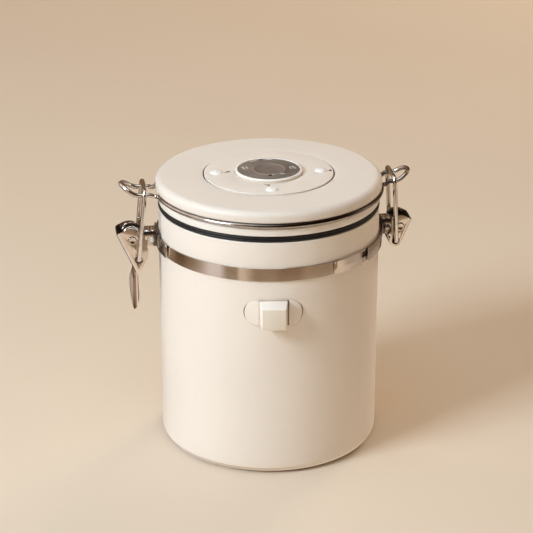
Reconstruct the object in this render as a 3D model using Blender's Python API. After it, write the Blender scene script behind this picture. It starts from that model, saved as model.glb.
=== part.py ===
"""Coffee canister with a hinged clamp lid, a one-way valve and a date dial.

Blender 4.5 script, metres, +Z up. The origin is the centre of the base, on the
surface that the canister stands on. The clamps lie along X: the toggle latch is
at -X, the hinge that carries the lid is at +X, and the front is -Y.
"""

from math import atan2, cos, hypot, pi, radians, sin, sqrt, tan

import bmesh
import bpy
from mathutils import Matrix, Vector

mm = 0.001

# Shared clearances, sheet and mesh steps
gap = 0.3 * mm
half_gap = gap / 2
overrun = 6.0 * mm
merge_distance = 0.001 * mm
round_steps = 64
middle_round_steps = 48
small_round_steps = 20
fillet_steps = 4
fold_steps = 2
wire_section_steps = 2

# Body, a drawn steel can with a rolled rim
body_radius = 60.0 * mm
body_height = 135.0 * mm
body_wall = 0.8 * mm
body_foot_fillet = 6.0 * mm
rim_width = 2.6 * mm
rim_depth = 1.8 * mm
rim_round = 0.6 * mm

# Lid base, the plug that carries the seal, and its seal
gasket_height = 2.7 * mm
gasket_bulge = 0.1 * mm
gasket_edge = 1.1 * mm
plug_inset = 3.7 * mm
plug_depth = 8.0 * mm
plug_wall = 1.6 * mm
plug_round = 2.0 * mm
flange_height = 4.3 * mm
flange_edge = 0.6 * mm
wire_groove_height = 3.5 * mm
neck_height = 5.6 * mm

# Lid cover
lid_overhang = 1.3 * mm
cover_height = 5.9 * mm
lid_sheet = 1.4 * mm
lid_edge_round = 3.5 * mm
lid_lip_edge = 0.3 * mm

# Date dial, its bezel and the plate in the bezel
dial_radius = 35.0 * mm
dial_seam = 0.5 * mm
dial_sink = 1.1 * mm
dial_proud = 0.6 * mm
dial_edge = 0.35 * mm
nub_count = 3
nub_pitch_deg = 90.0
nub_start_deg = -5.0
nub_orbit = 28.3 * mm
nub_radius = 3.3 * mm
nub_height = 1.4 * mm
bezel_radius = 18.2 * mm
bezel_lip = 1.2 * mm
bezel_rise = 2.4 * mm
bezel_chamfer = 0.5 * mm
date_plate_thickness = 0.8 * mm
date_plate_sink = 0.2 * mm

# One-way valve under the bezel
valve_stem_radius = 9.9 * mm
valve_stem_length = 10.2 * mm
valve_tube_wall = 1.5 * mm
valve_tube_foot = 0.3 * mm
valve_flange_width = 2.5 * mm
valve_flange_thickness = 1.2 * mm
valve_seat_height = 8.4 * mm
valve_seat_thickness = 1.0 * mm
valve_seat_hole = 4.5 * mm
valve_flap_radius = 7.5 * mm
valve_flap_thickness = 0.8 * mm
filter_thickness = 0.8 * mm
filter_hole_radius = 0.9 * mm
filter_ring_pitch = 2.95 * mm
filter_hole_counts = (6, 12)

# Round wire of the lid's ring and of both links
wire_radius = 1.2 * mm
wire_clearance = 0.35 * mm
ring_overhang = 1.0 * mm
ear_half_width = 7.0 * mm
ear_corner = 2.5 * mm
ear_slope_start_reach = 2.4 * mm
ear_slope_end_reach = 5.6 * mm
latch_ear_rise = 0.7 * mm
latch_ear_bend_reach = 11.0 * mm
latch_ear_tip_reach = 20.0 * mm
latch_ear_lift = 4.8 * mm
hinge_ear_rise = 1.8 * mm
hinge_ear_bend_reach = 8.3 * mm
hinge_ear_tip_reach = 16.4 * mm
hinge_ear_lift = 4.2 * mm
link_foot_half_width = 9.0 * mm
link_bar_half_width = 10.3 * mm
link_foot_inset = 4.0 * mm
link_foot_bend = 1.6 * mm
link_bar_bend = 3.0 * mm
latch_bar_reach = 7.9 * mm
latch_bar_gap = 0.6 * mm
hinge_bar_reach = 7.3 * mm
hinge_bar_gap = 0.3 * mm

# Clamp band round the body, its folded end and its slot
band_drop = 21.3 * mm
band_width = 7.4 * mm
band_thickness = 0.6 * mm
band_tail_thickness = 0.5 * mm
band_tail_round = 1.6 * mm
band_tail_start_deg = 25.4
band_slot_start_deg = 44.8
band_slot_end_deg = 50.4
band_slot_share = 0.6
band_fold = 1.0 * mm
hinge_strap_start_deg = 50.4
hinge_strap_end_deg = 109.7
latch_strap_half_deg = 19.7

# Brackets that carry the two clamps
bracket_half_width = 5.9 * mm
bracket_sheet = 0.8 * mm
bracket_lift = 1.7 * mm
bracket_height = 7.8 * mm
bracket_flange_half_width = 8.6 * mm
bracket_flange_margin = 0.3 * mm
bracket_strap_thickness = 0.6 * mm
bracket_nose = 5.0 * mm
bracket_nose_deg = 170.0
bracket_nose_steps = 14
bracket_bend = 1.2 * mm
latch_web_reach = 8.5 * mm
hinge_web_reach = 8.0 * mm
anchor_lift = 3.7 * mm
latch_anchor_reach = 5.0 * mm
hinge_anchor_reach = 4.7 * mm
anchor_shaft_radius = 1.0 * mm
anchor_head_radius = 1.75 * mm
anchor_head_height = 0.7 * mm

# Pins of both clamps, from the body's wall and the bottom of their bracket
latch_pin_reach = 15.04 * mm
latch_pin_lift = 4.2 * mm
hinge_pin_reach = 11.8 * mm
hinge_pin_lift = 4.1 * mm
pin_radius = 1.4 * mm
pin_head_radius = 2.2 * mm
pin_head_height = 0.45 * mm
pin_clearance = 0.35 * mm
pin_seat_gap = 0.25 * mm

# Toggle lever, places measured from its pin
cheek_half_width = 7.0 * mm
cheek_sheet = 0.8 * mm
cheek_bend = 1.6 * mm
link_hole_radius = 1.85 * mm
lever_hole_in = 3.04 * mm
lever_hole_down = 11.2 * mm
lever_corner_out = 8.7 * mm
lever_corner_up = 3.55 * mm
lever_crown_out = 0.5 * mm
lever_crown_up = 7.3 * mm
lever_shoulder_in = 6.4 * mm
lever_shoulder_up = 3.2 * mm
lever_bulge_in = 9.0 * mm
lever_bulge_down = 9.3 * mm
lever_tip_in = 2.0 * mm
lever_tip_down = 20.4 * mm
lever_corner_round = 1.0 * mm
lever_crown_round = 7.0 * mm
lever_shoulder_round = 4.0 * mm
lever_bulge_round = 8.0 * mm
lever_tip_round = 0.9 * mm
tail_length = 22.5 * mm
tail_overlap = 5.5 * mm
tail_swell = 9.0 * mm
tail_half_width = 4.6 * mm
tail_hollow = 3.8 * mm
tail_embed = 0.1 * mm
tail_hook = 2.1 * mm
tail_rows = 12
tail_columns = 6
tail_taper_share = 0.5

# Hinge plates, places measured from their pin
plate_hole_in = 2.3 * mm
plate_hole_down = 8.1 * mm
plate_corner_out = 6.7 * mm
plate_corner_up = 3.8 * mm
plate_corner_round = 0.6 * mm
plate_crown_out = 0.6 * mm
plate_crown_up = 6.9 * mm
plate_inner_in = 4.9 * mm
plate_inner_up = 5.6 * mm
plate_inner_down = 2.6 * mm
plate_flare_in = 6.6 * mm
plate_flare_down = 4.7 * mm
plate_lobe_radius = 3.6 * mm
plate_lobe_start_deg = 40.0
plate_lobe_end_deg = -155.0
plate_lobe_steps = 14

# Torsion spring round the latch pin, turns in degrees seen from the front
spring_wire_radius = 0.7 * mm
spring_coil_radius = 4.2 * mm
spring_half_width = 4.0 * mm
spring_start_deg = -80.0
spring_whole_turns = 3
spring_points_per_turn = 9
spring_push_leg = 2.0 * mm
spring_least_gap = 0.4 * mm

# Scoop hook on the front of the body
hook_drop = 38.8 * mm
hook_turn_deg = -6.0
hook_plate_length = 30.4 * mm
hook_plate_height = 14.3 * mm
hook_plate_drop = 0.3 * mm
hook_plate_round = 7.0 * mm
hook_plate_thickness = 0.7 * mm
hook_root_width = 14.8 * mm
hook_root_height = 13.4 * mm
hook_face_width = 12.5 * mm
hook_face_height = 11.6 * mm
hook_reach = 9.3 * mm
hook_edge = 0.6 * mm

# Colours, linear, with roughness and metallic
cream_paint = ("cream_paint", (0.80, 0.72, 0.62), 0.55, 0.0)
cream_plastic = ("cream_plastic", (0.82, 0.76, 0.68), 0.45, 0.0)
white_plastic = ("white_plastic", (0.84, 0.81, 0.76), 0.5, 0.0)
black_rubber = ("black_rubber", (0.02, 0.02, 0.02), 0.6, 0.0)
polished_steel = ("polished_steel", (0.66, 0.63, 0.59), 0.12, 1.0)
brushed_steel = ("brushed_steel", (0.55, 0.50, 0.46), 0.3, 1.0)
satin_steel = ("satin_steel", (0.36, 0.34, 0.32), 0.4, 0.9)

# Heights and radii that follow from the sizes above
lid_radius = body_radius + lid_overhang
ring_mid_radius = body_radius + ring_overhang
ear_slope_start = body_radius + ear_slope_start_reach
ear_slope_end = body_radius + ear_slope_end_reach
latch_ear_bend = body_radius + latch_ear_bend_reach
latch_ear_tip = body_radius + latch_ear_tip_reach
hinge_ear_bend = body_radius + hinge_ear_bend_reach
hinge_ear_tip = body_radius + hinge_ear_tip_reach
latch_bar_out = body_radius + latch_bar_reach
hinge_bar_out = body_radius + hinge_bar_reach
latch_web_out = body_radius + latch_web_reach
hinge_web_out = body_radius + hinge_web_reach
latch_anchor_out = body_radius + latch_anchor_reach
hinge_anchor_out = body_radius + hinge_anchor_reach
latch_pin_out = body_radius + latch_pin_reach
hinge_pin_out = body_radius + hinge_pin_reach
band_bottom = body_height - band_drop
bracket_bottom = band_bottom + bracket_lift
bracket_top = bracket_bottom + bracket_height
anchor_height = bracket_bottom + anchor_lift
latch_pin_height = bracket_bottom + latch_pin_lift
hinge_pin_height = bracket_bottom + hinge_pin_lift
hook_height = body_height - hook_drop
gasket_bottom = body_height + gap
flange_bottom = gasket_bottom + gasket_height + gap
flange_top = flange_bottom + flange_height
cover_bottom = flange_top + wire_groove_height
lid_top = cover_bottom + cover_height
ring_height = (flange_top + cover_bottom) / 2 + half_gap
latch_ear_height = ring_height + latch_ear_rise
hinge_ear_height = ring_height + hinge_ear_rise
neck_radius = ring_mid_radius - wire_radius - wire_clearance
neck_top = flange_top + neck_height
plug_radius = body_radius - plug_inset
plug_bottom = body_height - plug_depth
plug_floor = plug_bottom + plug_wall
dial_floor = lid_top - dial_sink
dial_top = lid_top + dial_proud
bezel_top = dial_top + bezel_rise - dial_proud
dial_hole = bezel_radius + gap
valve_tube_inner = valve_stem_radius + gap
valve_tube_outer = valve_tube_inner + valve_tube_wall
band_inner = body_radius + gap
band_outer = band_inner + band_thickness
strap_inner = band_outer + gap
lever_corner = (-lever_corner_out, lever_corner_up)
lever_tip = (lever_tip_in, -lever_tip_down)
plate_corner = (-plate_corner_out, plate_corner_up)


def clear_scene():
    """Remove the objects that a new file starts with."""
    for item in list(bpy.data.objects):
        bpy.data.objects.remove(item, do_unlink=True)


def finish_material(finish):
    """Return the Principled material of a finish, made once."""
    name, colour, roughness, metallic = finish
    found = bpy.data.materials.get(name)
    if found:
        return found
    made = bpy.data.materials.new(name)
    made.use_nodes = True
    shader = made.node_tree.nodes["Principled BSDF"]
    shader.inputs["Base Color"].default_value = (*colour, 1.0)
    shader.inputs["Roughness"].default_value = roughness
    shader.inputs["Metallic"].default_value = metallic
    return made


def add_object(name, data, finish=None):
    """Link an object; without a finish it is a cutter that isn't rendered."""
    made = bpy.data.objects.new(name, data)
    bpy.context.scene.collection.objects.link(made)
    if finish:
        data.materials.append(finish_material(finish))
    else:
        made.hide_render = True
        made.display_type = "WIRE"
    return made


def solid_from(work, name, finish):
    """Turn a bmesh into an object with smooth round faces."""
    bmesh.ops.remove_doubles(work, verts=work.verts, dist=merge_distance)
    bmesh.ops.recalc_face_normals(work, faces=work.faces)
    mesh = bpy.data.meshes.new(name)
    work.to_mesh(mesh)
    work.free()
    mesh.shade_smooth()
    mesh.set_sharp_from_angle(angle=radians(35.0))
    return add_object(name, mesh, finish)


def turned(name, outline, finish, steps=round_steps):
    """Spin a closed (radius, height) outline about the vertical axis."""
    work = bmesh.new()
    verts = [work.verts.new((radius, 0.0, height)) for radius, height in outline]
    edges = []
    for index, vert in enumerate(verts):
        other = verts[(index + 1) % len(verts)]
        if vert.co.x > 0.0 or other.co.x > 0.0:
            edges.append(work.edges.new((vert, other)))
    bmesh.ops.spin(
        work, geom=verts + edges, cent=(0.0, 0.0, 0.0), axis=(0.0, 0.0, 1.0),
        angle=2 * pi, steps=steps, use_merge=True,
    )
    return solid_from(work, name, finish)


def prism(name, outline, low, high, finish, along="Y"):
    """Extrude a closed outline between two levels.

    Along Y the outline is (x, z), along Z it is (x, y).
    """
    if along == "Y":
        corners = [(first, low, second) for first, second in outline]
        step = (0.0, high - low, 0.0)
    else:
        corners = [(first, second, low) for first, second in outline]
        step = (0.0, 0.0, high - low)
    work = bmesh.new()
    face = work.faces.new([work.verts.new(corner) for corner in corners])
    grown = bmesh.ops.extrude_face_region(work, geom=[face])
    moved = [item for item in grown["geom"] if isinstance(item, bmesh.types.BMVert)]
    bmesh.ops.translate(work, verts=moved, vec=step)
    return solid_from(work, name, finish)


def bent_prism(name, outline, half, bend, edge_point, edge_normal, finish):
    """Extrude an (x, z) outline along Y and round the two edges of its fold.

    The fold is the straight side through a point, with a normal that points
    inward. Near each end of the extrusion the side draws in along an arc, and
    what stands out past the side stays as it is.
    """
    drawn_in = []
    for step in range(fold_steps + 1):
        angle = pi / 2 * step / fold_steps
        drawn_in.append((half - bend + bend * sin(angle), bend - bend * cos(angle)))
    levels = [(-level, depth) for level, depth in reversed(drawn_in)] + drawn_in
    work = bmesh.new()
    rings = []
    for level, depth in levels:
        ring = []
        for point in outline:
            place = Vector(point)
            inside = (place - edge_point).dot(edge_normal)
            if -merge_distance < inside < depth:
                place += edge_normal * (depth - inside)
            ring.append(work.verts.new((place.x, level, place.y)))
        rings.append(ring)
    for ring, following in zip(rings, rings[1:]):
        for index in range(len(outline)):
            after = (index + 1) % len(outline)
            work.faces.new((ring[index], ring[after], following[after], following[index]))
    bmesh.ops.triangulate(work, faces=work.faces)
    work.faces.new(rings[0])
    work.faces.new(rings[-1])
    return solid_from(work, name, finish)


def wrapped(name, outline, inner, outer, turn, finish, columns):
    """Wrap a flat outline of (arc length, height) round the canister.

    The turn is in radians from +X, and the outline is cut into columns so that
    the plate follows the round wall.
    """
    work = bmesh.new()
    face = work.faces.new([work.verts.new((along, 0.0, up)) for along, up in outline])
    grown = bmesh.ops.extrude_face_region(work, geom=[face])
    moved = [item for item in grown["geom"] if isinstance(item, bmesh.types.BMVert)]
    bmesh.ops.translate(work, verts=moved, vec=(0.0, outer - inner, 0.0))
    start = min(along for along, up in outline)
    length = max(along for along, up in outline) - start
    for column in range(1, columns):
        cut_at = start + length * column / columns
        bmesh.ops.bisect_plane(
            work, geom=work.verts[:] + work.edges[:] + work.faces[:],
            plane_co=(cut_at, 0.0, 0.0), plane_no=(1.0, 0.0, 0.0),
        )
    for vert in work.verts:
        angle = turn + vert.co.x / inner
        reach = inner + vert.co.y
        vert.co = (reach * cos(angle), reach * sin(angle), vert.co.z)
    return solid_from(work, name, finish)


def pin_along_y(name, outline, finish, out, height, steps=small_round_steps):
    """Spin an outline and lay it along Y with its middle at (out, 0, height)."""
    made = turned(name, outline, finish, steps)
    made.rotation_euler = (pi / 2, 0.0, 0.0)
    made.location = (out, 0.0, height)
    return made


def rod_outline(radius, half_length):
    """Outline of a plain rod for turned()."""
    return [(0.0, -half_length), (radius, -half_length), (radius, half_length), (0.0, half_length)]


def rounded(corners, steps=fillet_steps):
    """Fillet an outline of (x, z, radius) corners; a zero radius stays sharp."""
    outline = []
    for index, (across, up, radius) in enumerate(corners):
        corner = Vector((across, up))
        if radius == 0.0:
            outline.append(tuple(corner))
            continue
        before = Vector(corners[index - 1][:2]) - corner
        after = Vector(corners[(index + 1) % len(corners)][:2]) - corner
        outline.extend(fillet(corner, before, after, radius, steps))
    return outline


def fillet(corner, before, after, radius, steps):
    """Points of the arc that rounds one corner, in two or three dimensions."""
    before = before.normalized()
    after = after.normalized()
    half = before.angle(after) / 2
    centre = corner + (before + after).normalized() * (radius / sin(half))
    first = corner + before * (radius / tan(half)) - centre
    last = corner + after * (radius / tan(half)) - centre
    sweep = first.angle(last)
    points = []
    for step in range(steps + 1):
        share = step / steps
        arm = (first * sin((1 - share) * sweep) + last * sin(share * sweep)) / sin(sweep)
        points.append(tuple(centre + arm))
    return points


def arc(centre_across, centre_up, radius, start, end, steps=fillet_steps):
    """Points along an arc, angles in degrees from the first axis."""
    points = []
    for step in range(steps + 1):
        angle = radians(start + (end - start) * step / steps)
        points.append((centre_across + radius * cos(angle), centre_up + radius * sin(angle)))
    return points


def combine(target, tool, operation):
    """Give an object an exact Boolean with another one."""
    modifier = target.modifiers.new(tool.name, "BOOLEAN")
    modifier.operation = operation
    modifier.object = tool
    modifier.solver = "EXACT"


def cut_rods(target, places, radius, half_length):
    """Cut holes along Y at (out, height) places."""
    for index, (out, height) in enumerate(places):
        name = f"{target.name}_hole_{index + 1}"
        tool = pin_along_y(name, rod_outline(radius, half_length), None, out, height)
        combine(target, tool, "DIFFERENCE")


def wire(name, points, radius, finish, closed=False, section_steps=wire_section_steps):
    """Sweep a round section along points, with filled ends."""
    curve = bpy.data.curves.new(name, "CURVE")
    curve.dimensions = "3D"
    curve.bevel_depth = radius
    curve.bevel_resolution = section_steps
    curve.use_fill_caps = True
    spline = curve.splines.new("POLY")
    spline.points.add(len(points) - 1)
    for point, place in zip(spline.points, points):
        point.co = (*place, 1.0)
    spline.use_cyclic_u = closed
    return add_object(name, curve, finish)


def bent(corners, steps=fillet_steps):
    """Round the inner corners of an open 3-D run of (point, radius) pairs."""
    points = [corners[0][0]]
    for index in range(1, len(corners) - 1):
        corner, radius = corners[index]
        corner = Vector(corner)
        before = Vector(corners[index - 1][0]) - corner
        after = Vector(corners[index + 1][0]) - corner
        points.extend(fillet(corner, before, after, radius, steps))
    points.append(corners[-1][0])
    return points


def pivot(name, out, height, parent=None):
    """Add an empty on a joint axis that runs along Y."""
    made = bpy.data.objects.new(name, None)
    bpy.context.scene.collection.objects.link(made)
    made.location = (out, 0.0, height)
    if parent:
        made.parent = parent
        made.location = Vector((out, 0.0, height)) - world_place(parent)
    return made


def world_place(item):
    """World position of a pivot, which is never turned."""
    place = item.location.copy()
    if item.parent:
        place += world_place(item.parent)
    return place


def carry(item, on):
    """Let a pivot carry an object that was built in canister coordinates."""
    item.parent = on
    item.location = item.location - world_place(on)
    return item


def body():
    """Drawn can: flat base, round foot, straight wall and rolled rim."""
    fillet_centre = body_radius - body_foot_fillet
    inner_fillet = body_foot_fillet - body_wall
    inner_radius = body_radius - body_wall
    rim_inner = body_radius - rim_width
    outline = [(0.0, 0.0)]
    outline += arc(fillet_centre, body_foot_fillet, body_foot_fillet, -90.0, 0.0)
    outline += arc(body_radius - rim_round, body_height - rim_round, rim_round, 0.0, 90.0, 2)
    outline += arc(rim_inner + rim_round, body_height - rim_round, rim_round, 90.0, 180.0, 2)
    outline.append((rim_inner, body_height - rim_depth))
    outline.append((inner_radius, body_height - rim_depth - rim_width + body_wall))
    outline += arc(fillet_centre, body_foot_fillet, inner_fillet, 0.0, -90.0, 3)
    outline.append((0.0, body_wall))
    return turned("canister_body", outline, cream_paint)


def lid_base():
    """Plug with the seal's seat, the flange and the neck in the wire's groove."""
    hole = valve_tube_outer + gap
    inner = plug_radius - plug_wall
    neck_inner = neck_radius - plug_wall
    outline = [(hole, plug_bottom)]
    outline += arc(plug_radius - plug_round, plug_bottom + plug_round, plug_round, -90.0, 0.0, 2)
    outline += [
        (plug_radius, flange_bottom),
        (body_radius - flange_edge, flange_bottom),
        (body_radius, flange_bottom + flange_edge),
        (body_radius, flange_top - flange_edge),
        (body_radius - flange_edge, flange_top),
        (neck_radius, flange_top),
        (neck_radius, neck_top),
        (neck_inner, neck_top),
        (neck_inner, flange_top + plug_wall),
        (inner, flange_top - plug_wall),
        (inner, plug_floor),
        (hole, plug_floor),
    ]
    return turned("lid_base", outline, white_plastic)


def gasket():
    """Soft ring between the flange and the body's rim."""
    inner = plug_radius + gap
    outer = body_radius + gasket_bulge
    top = gasket_bottom + gasket_height
    outline = [(inner, gasket_bottom)]
    outline += arc(outer - gasket_edge, gasket_bottom + gasket_edge, gasket_edge, -90.0, 0.0, 2)
    outline += arc(outer - gasket_edge, top - gasket_edge, gasket_edge, 0.0, 90.0, 2)
    outline.append((inner, top))
    return turned("lid_gasket", outline, black_rubber)


def lid_cover():
    """Painted cap with a round edge and a sunk floor for the dial."""
    skirt_inner = lid_radius - lid_sheet
    edge_centre = lid_radius - lid_edge_round
    recess = dial_radius + dial_seam
    under_floor = dial_floor - lid_sheet
    under_top = lid_top - lid_sheet
    outline = [
        (skirt_inner, cover_bottom),
        (lid_radius - lid_lip_edge, cover_bottom),
        (lid_radius, cover_bottom + lid_lip_edge),
    ]
    outline += arc(edge_centre, lid_top - lid_edge_round, lid_edge_round, 0.0, 90.0)
    outline += [
        (recess, lid_top),
        (recess, dial_floor),
        (valve_tube_inner, dial_floor),
        (valve_tube_inner, under_floor),
        (recess + lid_sheet, under_floor),
        (recess + lid_sheet, under_top),
        (edge_centre, under_top),
        (skirt_inner, lid_top - lid_edge_round),
    ]
    return turned("lid_cover", outline, cream_paint)


def dial_ring():
    """Turning ring in the lid's recess, with domed finger nubs."""
    bottom = dial_floor + gap
    outline = [
        (dial_hole, bottom),
        (dial_radius, bottom),
        (dial_radius, dial_top - dial_edge),
        (dial_radius - dial_edge, dial_top),
        (dial_hole, dial_top),
    ]
    ring = turned("dial_ring", outline, cream_plastic)
    for index in range(nub_count):
        angle = radians(nub_start_deg - nub_pitch_deg * index)
        dome = turned(f"dial_nub_{index + 1}", nub_outline(), None, 16)
        dome.location = (nub_orbit * cos(angle), nub_orbit * sin(angle), dial_top)
        combine(ring, dome, "UNION")
    return ring


def nub_outline():
    """Low dome that reaches down into the dial."""
    outline = [(0.0, -dial_proud), (nub_radius, -dial_proud), (nub_radius, 0.0)]
    for step in range(1, 5):
        angle = pi / 2 * step / 4
        outline.append((nub_radius * cos(angle), nub_height * sin(angle)))
    outline[-1] = (0.0, nub_height)
    return outline


def valve_bezel():
    """Bezel with a hollow stem that goes down into the valve tube."""
    plate_seat = bezel_top - date_plate_sink - date_plate_thickness - gap
    seat_radius = bezel_radius - bezel_lip
    bottom = dial_floor + gap
    stem_inner = valve_stem_radius - valve_tube_wall
    stem_end = bottom - valve_stem_length
    outline = [
        (0.0, plate_seat - lid_sheet),
        (stem_inner, plate_seat - lid_sheet),
        (stem_inner, stem_end),
        (valve_stem_radius, stem_end),
        (valve_stem_radius, bottom),
        (bezel_radius, bottom),
        (bezel_radius, bezel_top - bezel_chamfer),
        (bezel_radius - bezel_chamfer, bezel_top),
        (seat_radius, bezel_top),
        (seat_radius, plate_seat),
        (0.0, plate_seat),
    ]
    return turned("valve_bezel", outline, cream_plastic, middle_round_steps)


def date_plate():
    """Brushed plate that closes the top of the bezel."""
    top = bezel_top - date_plate_sink
    radius = bezel_radius - bezel_lip - gap
    outline = [
        (0.0, top - date_plate_thickness),
        (radius, top - date_plate_thickness),
        (radius, top),
        (0.0, top),
    ]
    return turned("date_plate", outline, satin_steel, middle_round_steps)


def valve_body():
    """Tube through the plug's floor with a flange and a seat for the flap."""
    foot = plug_bottom + valve_tube_foot
    flange_low = plug_floor + gap
    flange_high = flange_low + valve_flange_thickness
    flange_radius = valve_tube_outer + valve_flange_width
    seat_low = plug_floor + valve_seat_height
    seat_high = seat_low + valve_seat_thickness
    top = dial_floor - lid_sheet - gap
    outline = [
        (valve_tube_inner, foot),
        (valve_tube_outer, foot),
        (valve_tube_outer, flange_low),
        (flange_radius, flange_low),
        (flange_radius, flange_high),
        (valve_tube_outer, flange_high),
        (valve_tube_outer, top),
        (valve_tube_inner, top),
        (valve_tube_inner, seat_high),
        (valve_seat_hole, seat_high),
        (valve_seat_hole, seat_low),
        (valve_tube_inner, seat_low),
    ]
    return turned("valve_body", outline, white_plastic, 36)


def valve_flap():
    """Silicone disc that lies on the seat and lifts to let gas out."""
    bottom = plug_floor + valve_seat_height + valve_seat_thickness + gap
    top = bottom + valve_flap_thickness
    outline = [(0.0, bottom), (valve_flap_radius, bottom), (valve_flap_radius, top), (0.0, top)]
    return turned("valve_flap", outline, black_rubber, 36)


def valve_filter():
    """Pierced disc in the mouth of the valve tube."""
    bottom = plug_bottom + valve_tube_foot + half_gap
    top = bottom + filter_thickness
    edge = arc(0.0, 0.0, valve_stem_radius, 0.0, 360.0, 24)[:-1]
    disc = prism("valve_filter", edge, bottom, top, white_plastic, along="Z")
    places = [(0.0, 0.0)]
    for ring, count in enumerate(filter_hole_counts, start=1):
        for index in range(count):
            angle = 2 * pi * index / count
            reach = filter_ring_pitch * ring
            places.append((reach * cos(angle), reach * sin(angle)))
    low = bottom - overrun
    high = top + overrun
    rod = [(0.0, low), (filter_hole_radius, low), (filter_hole_radius, high), (0.0, high)]
    for index, (across, along) in enumerate(places):
        tool = turned(f"filter_hole_{index + 1}", rod, None, 6)
        tool.location = (across, along, 0.0)
        combine(disc, tool, "DIFFERENCE")
    return disc


def ear_points(side, flat_height, bend, tip, lift):
    """One ear of the lid's wire, from its front corner to its back corner."""
    corner = sqrt(ring_mid_radius ** 2 - ear_half_width ** 2)
    round_start = tip - ear_half_width

    def height(out):
        slope = min(max((out - ear_slope_start) / (ear_slope_end - ear_slope_start), 0.0), 1.0)
        rise = max(out - bend, 0.0) / (tip - bend)
        base = ring_height + (flat_height - ring_height) * slope * slope * (3 - 2 * slope)
        return base + lift * rise * rise * (2 - rise)

    outs = [corner + ear_corner, ear_slope_start, (ear_slope_start + ear_slope_end) / 2]
    outs += [ear_slope_end, latch_bar_out, (bend + round_start) / 2, round_start]
    outs = sorted(set(outs))
    run = [(out, -ear_half_width) for out in outs]
    run += arc(round_start, 0.0, ear_half_width, -90.0, 90.0, 10)[1:-1]
    run += [(out, ear_half_width) for out in reversed(outs)]
    return [(side * out, side * across, height(out)) for out, across in run]


def lid_wire():
    """Closed ring wire in the lid's groove with an ear at each clamp."""
    half_turn = atan2(ear_half_width, sqrt(ring_mid_radius ** 2 - ear_half_width ** 2))
    margin = half_turn + ear_corner / ring_mid_radius
    hinge_ear = ear_points(1, hinge_ear_height, hinge_ear_bend, hinge_ear_tip, hinge_ear_lift)
    latch_ear = ear_points(-1, latch_ear_height, latch_ear_bend, latch_ear_tip, latch_ear_lift)
    steps = 24
    back = []
    for step in range(steps + 1):
        angle = margin + (pi - 2 * margin) * step / steps
        back.append((ring_mid_radius * cos(angle), ring_mid_radius * sin(angle), ring_height))
    front = [(-across, -along, height) for across, along, height in back]
    path = []
    for arc_run, ear in ((back, latch_ear), (front, hinge_ear)):
        path += arc_run
        path += turn_in(arc_run[-1], ear[0], arc_run[-2])
        path += ear
        other = front if arc_run is back else back
        path += turn_in(ear[-1], other[0], ear[-2])
    return wire("lid_wire", path, wire_radius, polished_steel, closed=True)


def turn_in(start, end, before):
    """Points of a smooth bend between the ring and an ear."""
    start = Vector(start)
    end = Vector(end)
    heading = (start - Vector(before)).normalized()
    reach = (end - start).length / 2
    handle = start + heading * reach
    points = []
    for step in range(1, 4):
        share = step / 4
        first = start.lerp(handle, share)
        second = handle.lerp(end, share)
        points.append(tuple(first.lerp(second, share)))
    return points


def link(name, side, foot_out, foot_height, bar_out, bar_height):
    """Wire link: two feet in the plate holes, two legs and the bar on top."""
    foot_end = link_foot_half_width - link_foot_inset
    corners = [
        ((side * foot_out, -foot_end, foot_height), 0.0),
        ((side * foot_out, -link_foot_half_width, foot_height), link_foot_bend),
        ((side * bar_out, -link_bar_half_width, bar_height), link_bar_bend),
        ((side * bar_out, link_bar_half_width, bar_height), link_bar_bend),
        ((side * foot_out, link_foot_half_width, foot_height), link_foot_bend),
        ((side * foot_out, foot_end, foot_height), 0.0),
    ]
    return wire(name, bent(corners), wire_radius, polished_steel)


def band_outline(start_deg, end_deg, rounded_start):
    """Flat outline of a strap of the band's width, by its turns from -Y."""
    low = band_bottom
    high = band_bottom + band_width
    start = strap_inner * radians(start_deg)
    end = strap_inner * radians(end_deg)
    if rounded_start:
        return rounded([
            (start, low, band_tail_round),
            (end, low, 0.0),
            (end, high, 0.0),
            (start, high, band_tail_round),
        ])
    return rounded([
        (start, low, band_tail_round),
        (end, low, band_tail_round),
        (end, high, band_tail_round),
        (start, high, band_tail_round),
    ])


def clamp_band():
    """Steel band with a slot, and its end folded back over itself."""
    outline = [
        (band_inner, band_bottom),
        (band_outer, band_bottom),
        (band_outer, band_bottom + band_width),
        (band_inner, band_bottom + band_width),
    ]
    band = turned("clamp_band", outline, brushed_steel)
    tail_outer = strap_inner + band_tail_thickness
    tail = wrapped(
        "band_tail", band_outline(band_tail_start_deg, band_slot_start_deg, True),
        strap_inner, tail_outer, -pi / 2, None, 8,
    )
    fold_start = strap_inner * radians(band_slot_start_deg) - band_fold
    fold_end = strap_inner * radians(band_slot_start_deg)
    fold_low = band_bottom + band_width * (1 - band_slot_share)
    fold = wrapped(
        "band_fold",
        [
            (fold_start, fold_low),
            (fold_end, fold_low),
            (fold_end, band_bottom + band_width - band_fold / 2),
            (fold_start, band_bottom + band_width - band_fold / 2),
        ],
        (band_inner + band_outer) / 2, tail_outer - band_tail_thickness / 2, -pi / 2, None, 1,
    )
    slot_start = strap_inner * radians(band_slot_start_deg)
    slot_end = strap_inner * radians(band_slot_end_deg) - gap
    slot_low = band_bottom + band_width * (1 - band_slot_share)
    slot_high = band_bottom + band_width - band_fold
    slot = wrapped(
        "band_slot",
        [(slot_start, slot_low), (slot_end, slot_low), (slot_end, slot_high), (slot_start, slot_high)],
        body_radius - gap, tail_outer + overrun, -pi / 2, None, 2,
    )
    combine(band, slot, "DIFFERENCE")
    combine(band, fold, "UNION")
    combine(band, tail, "UNION")
    return band


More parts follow.
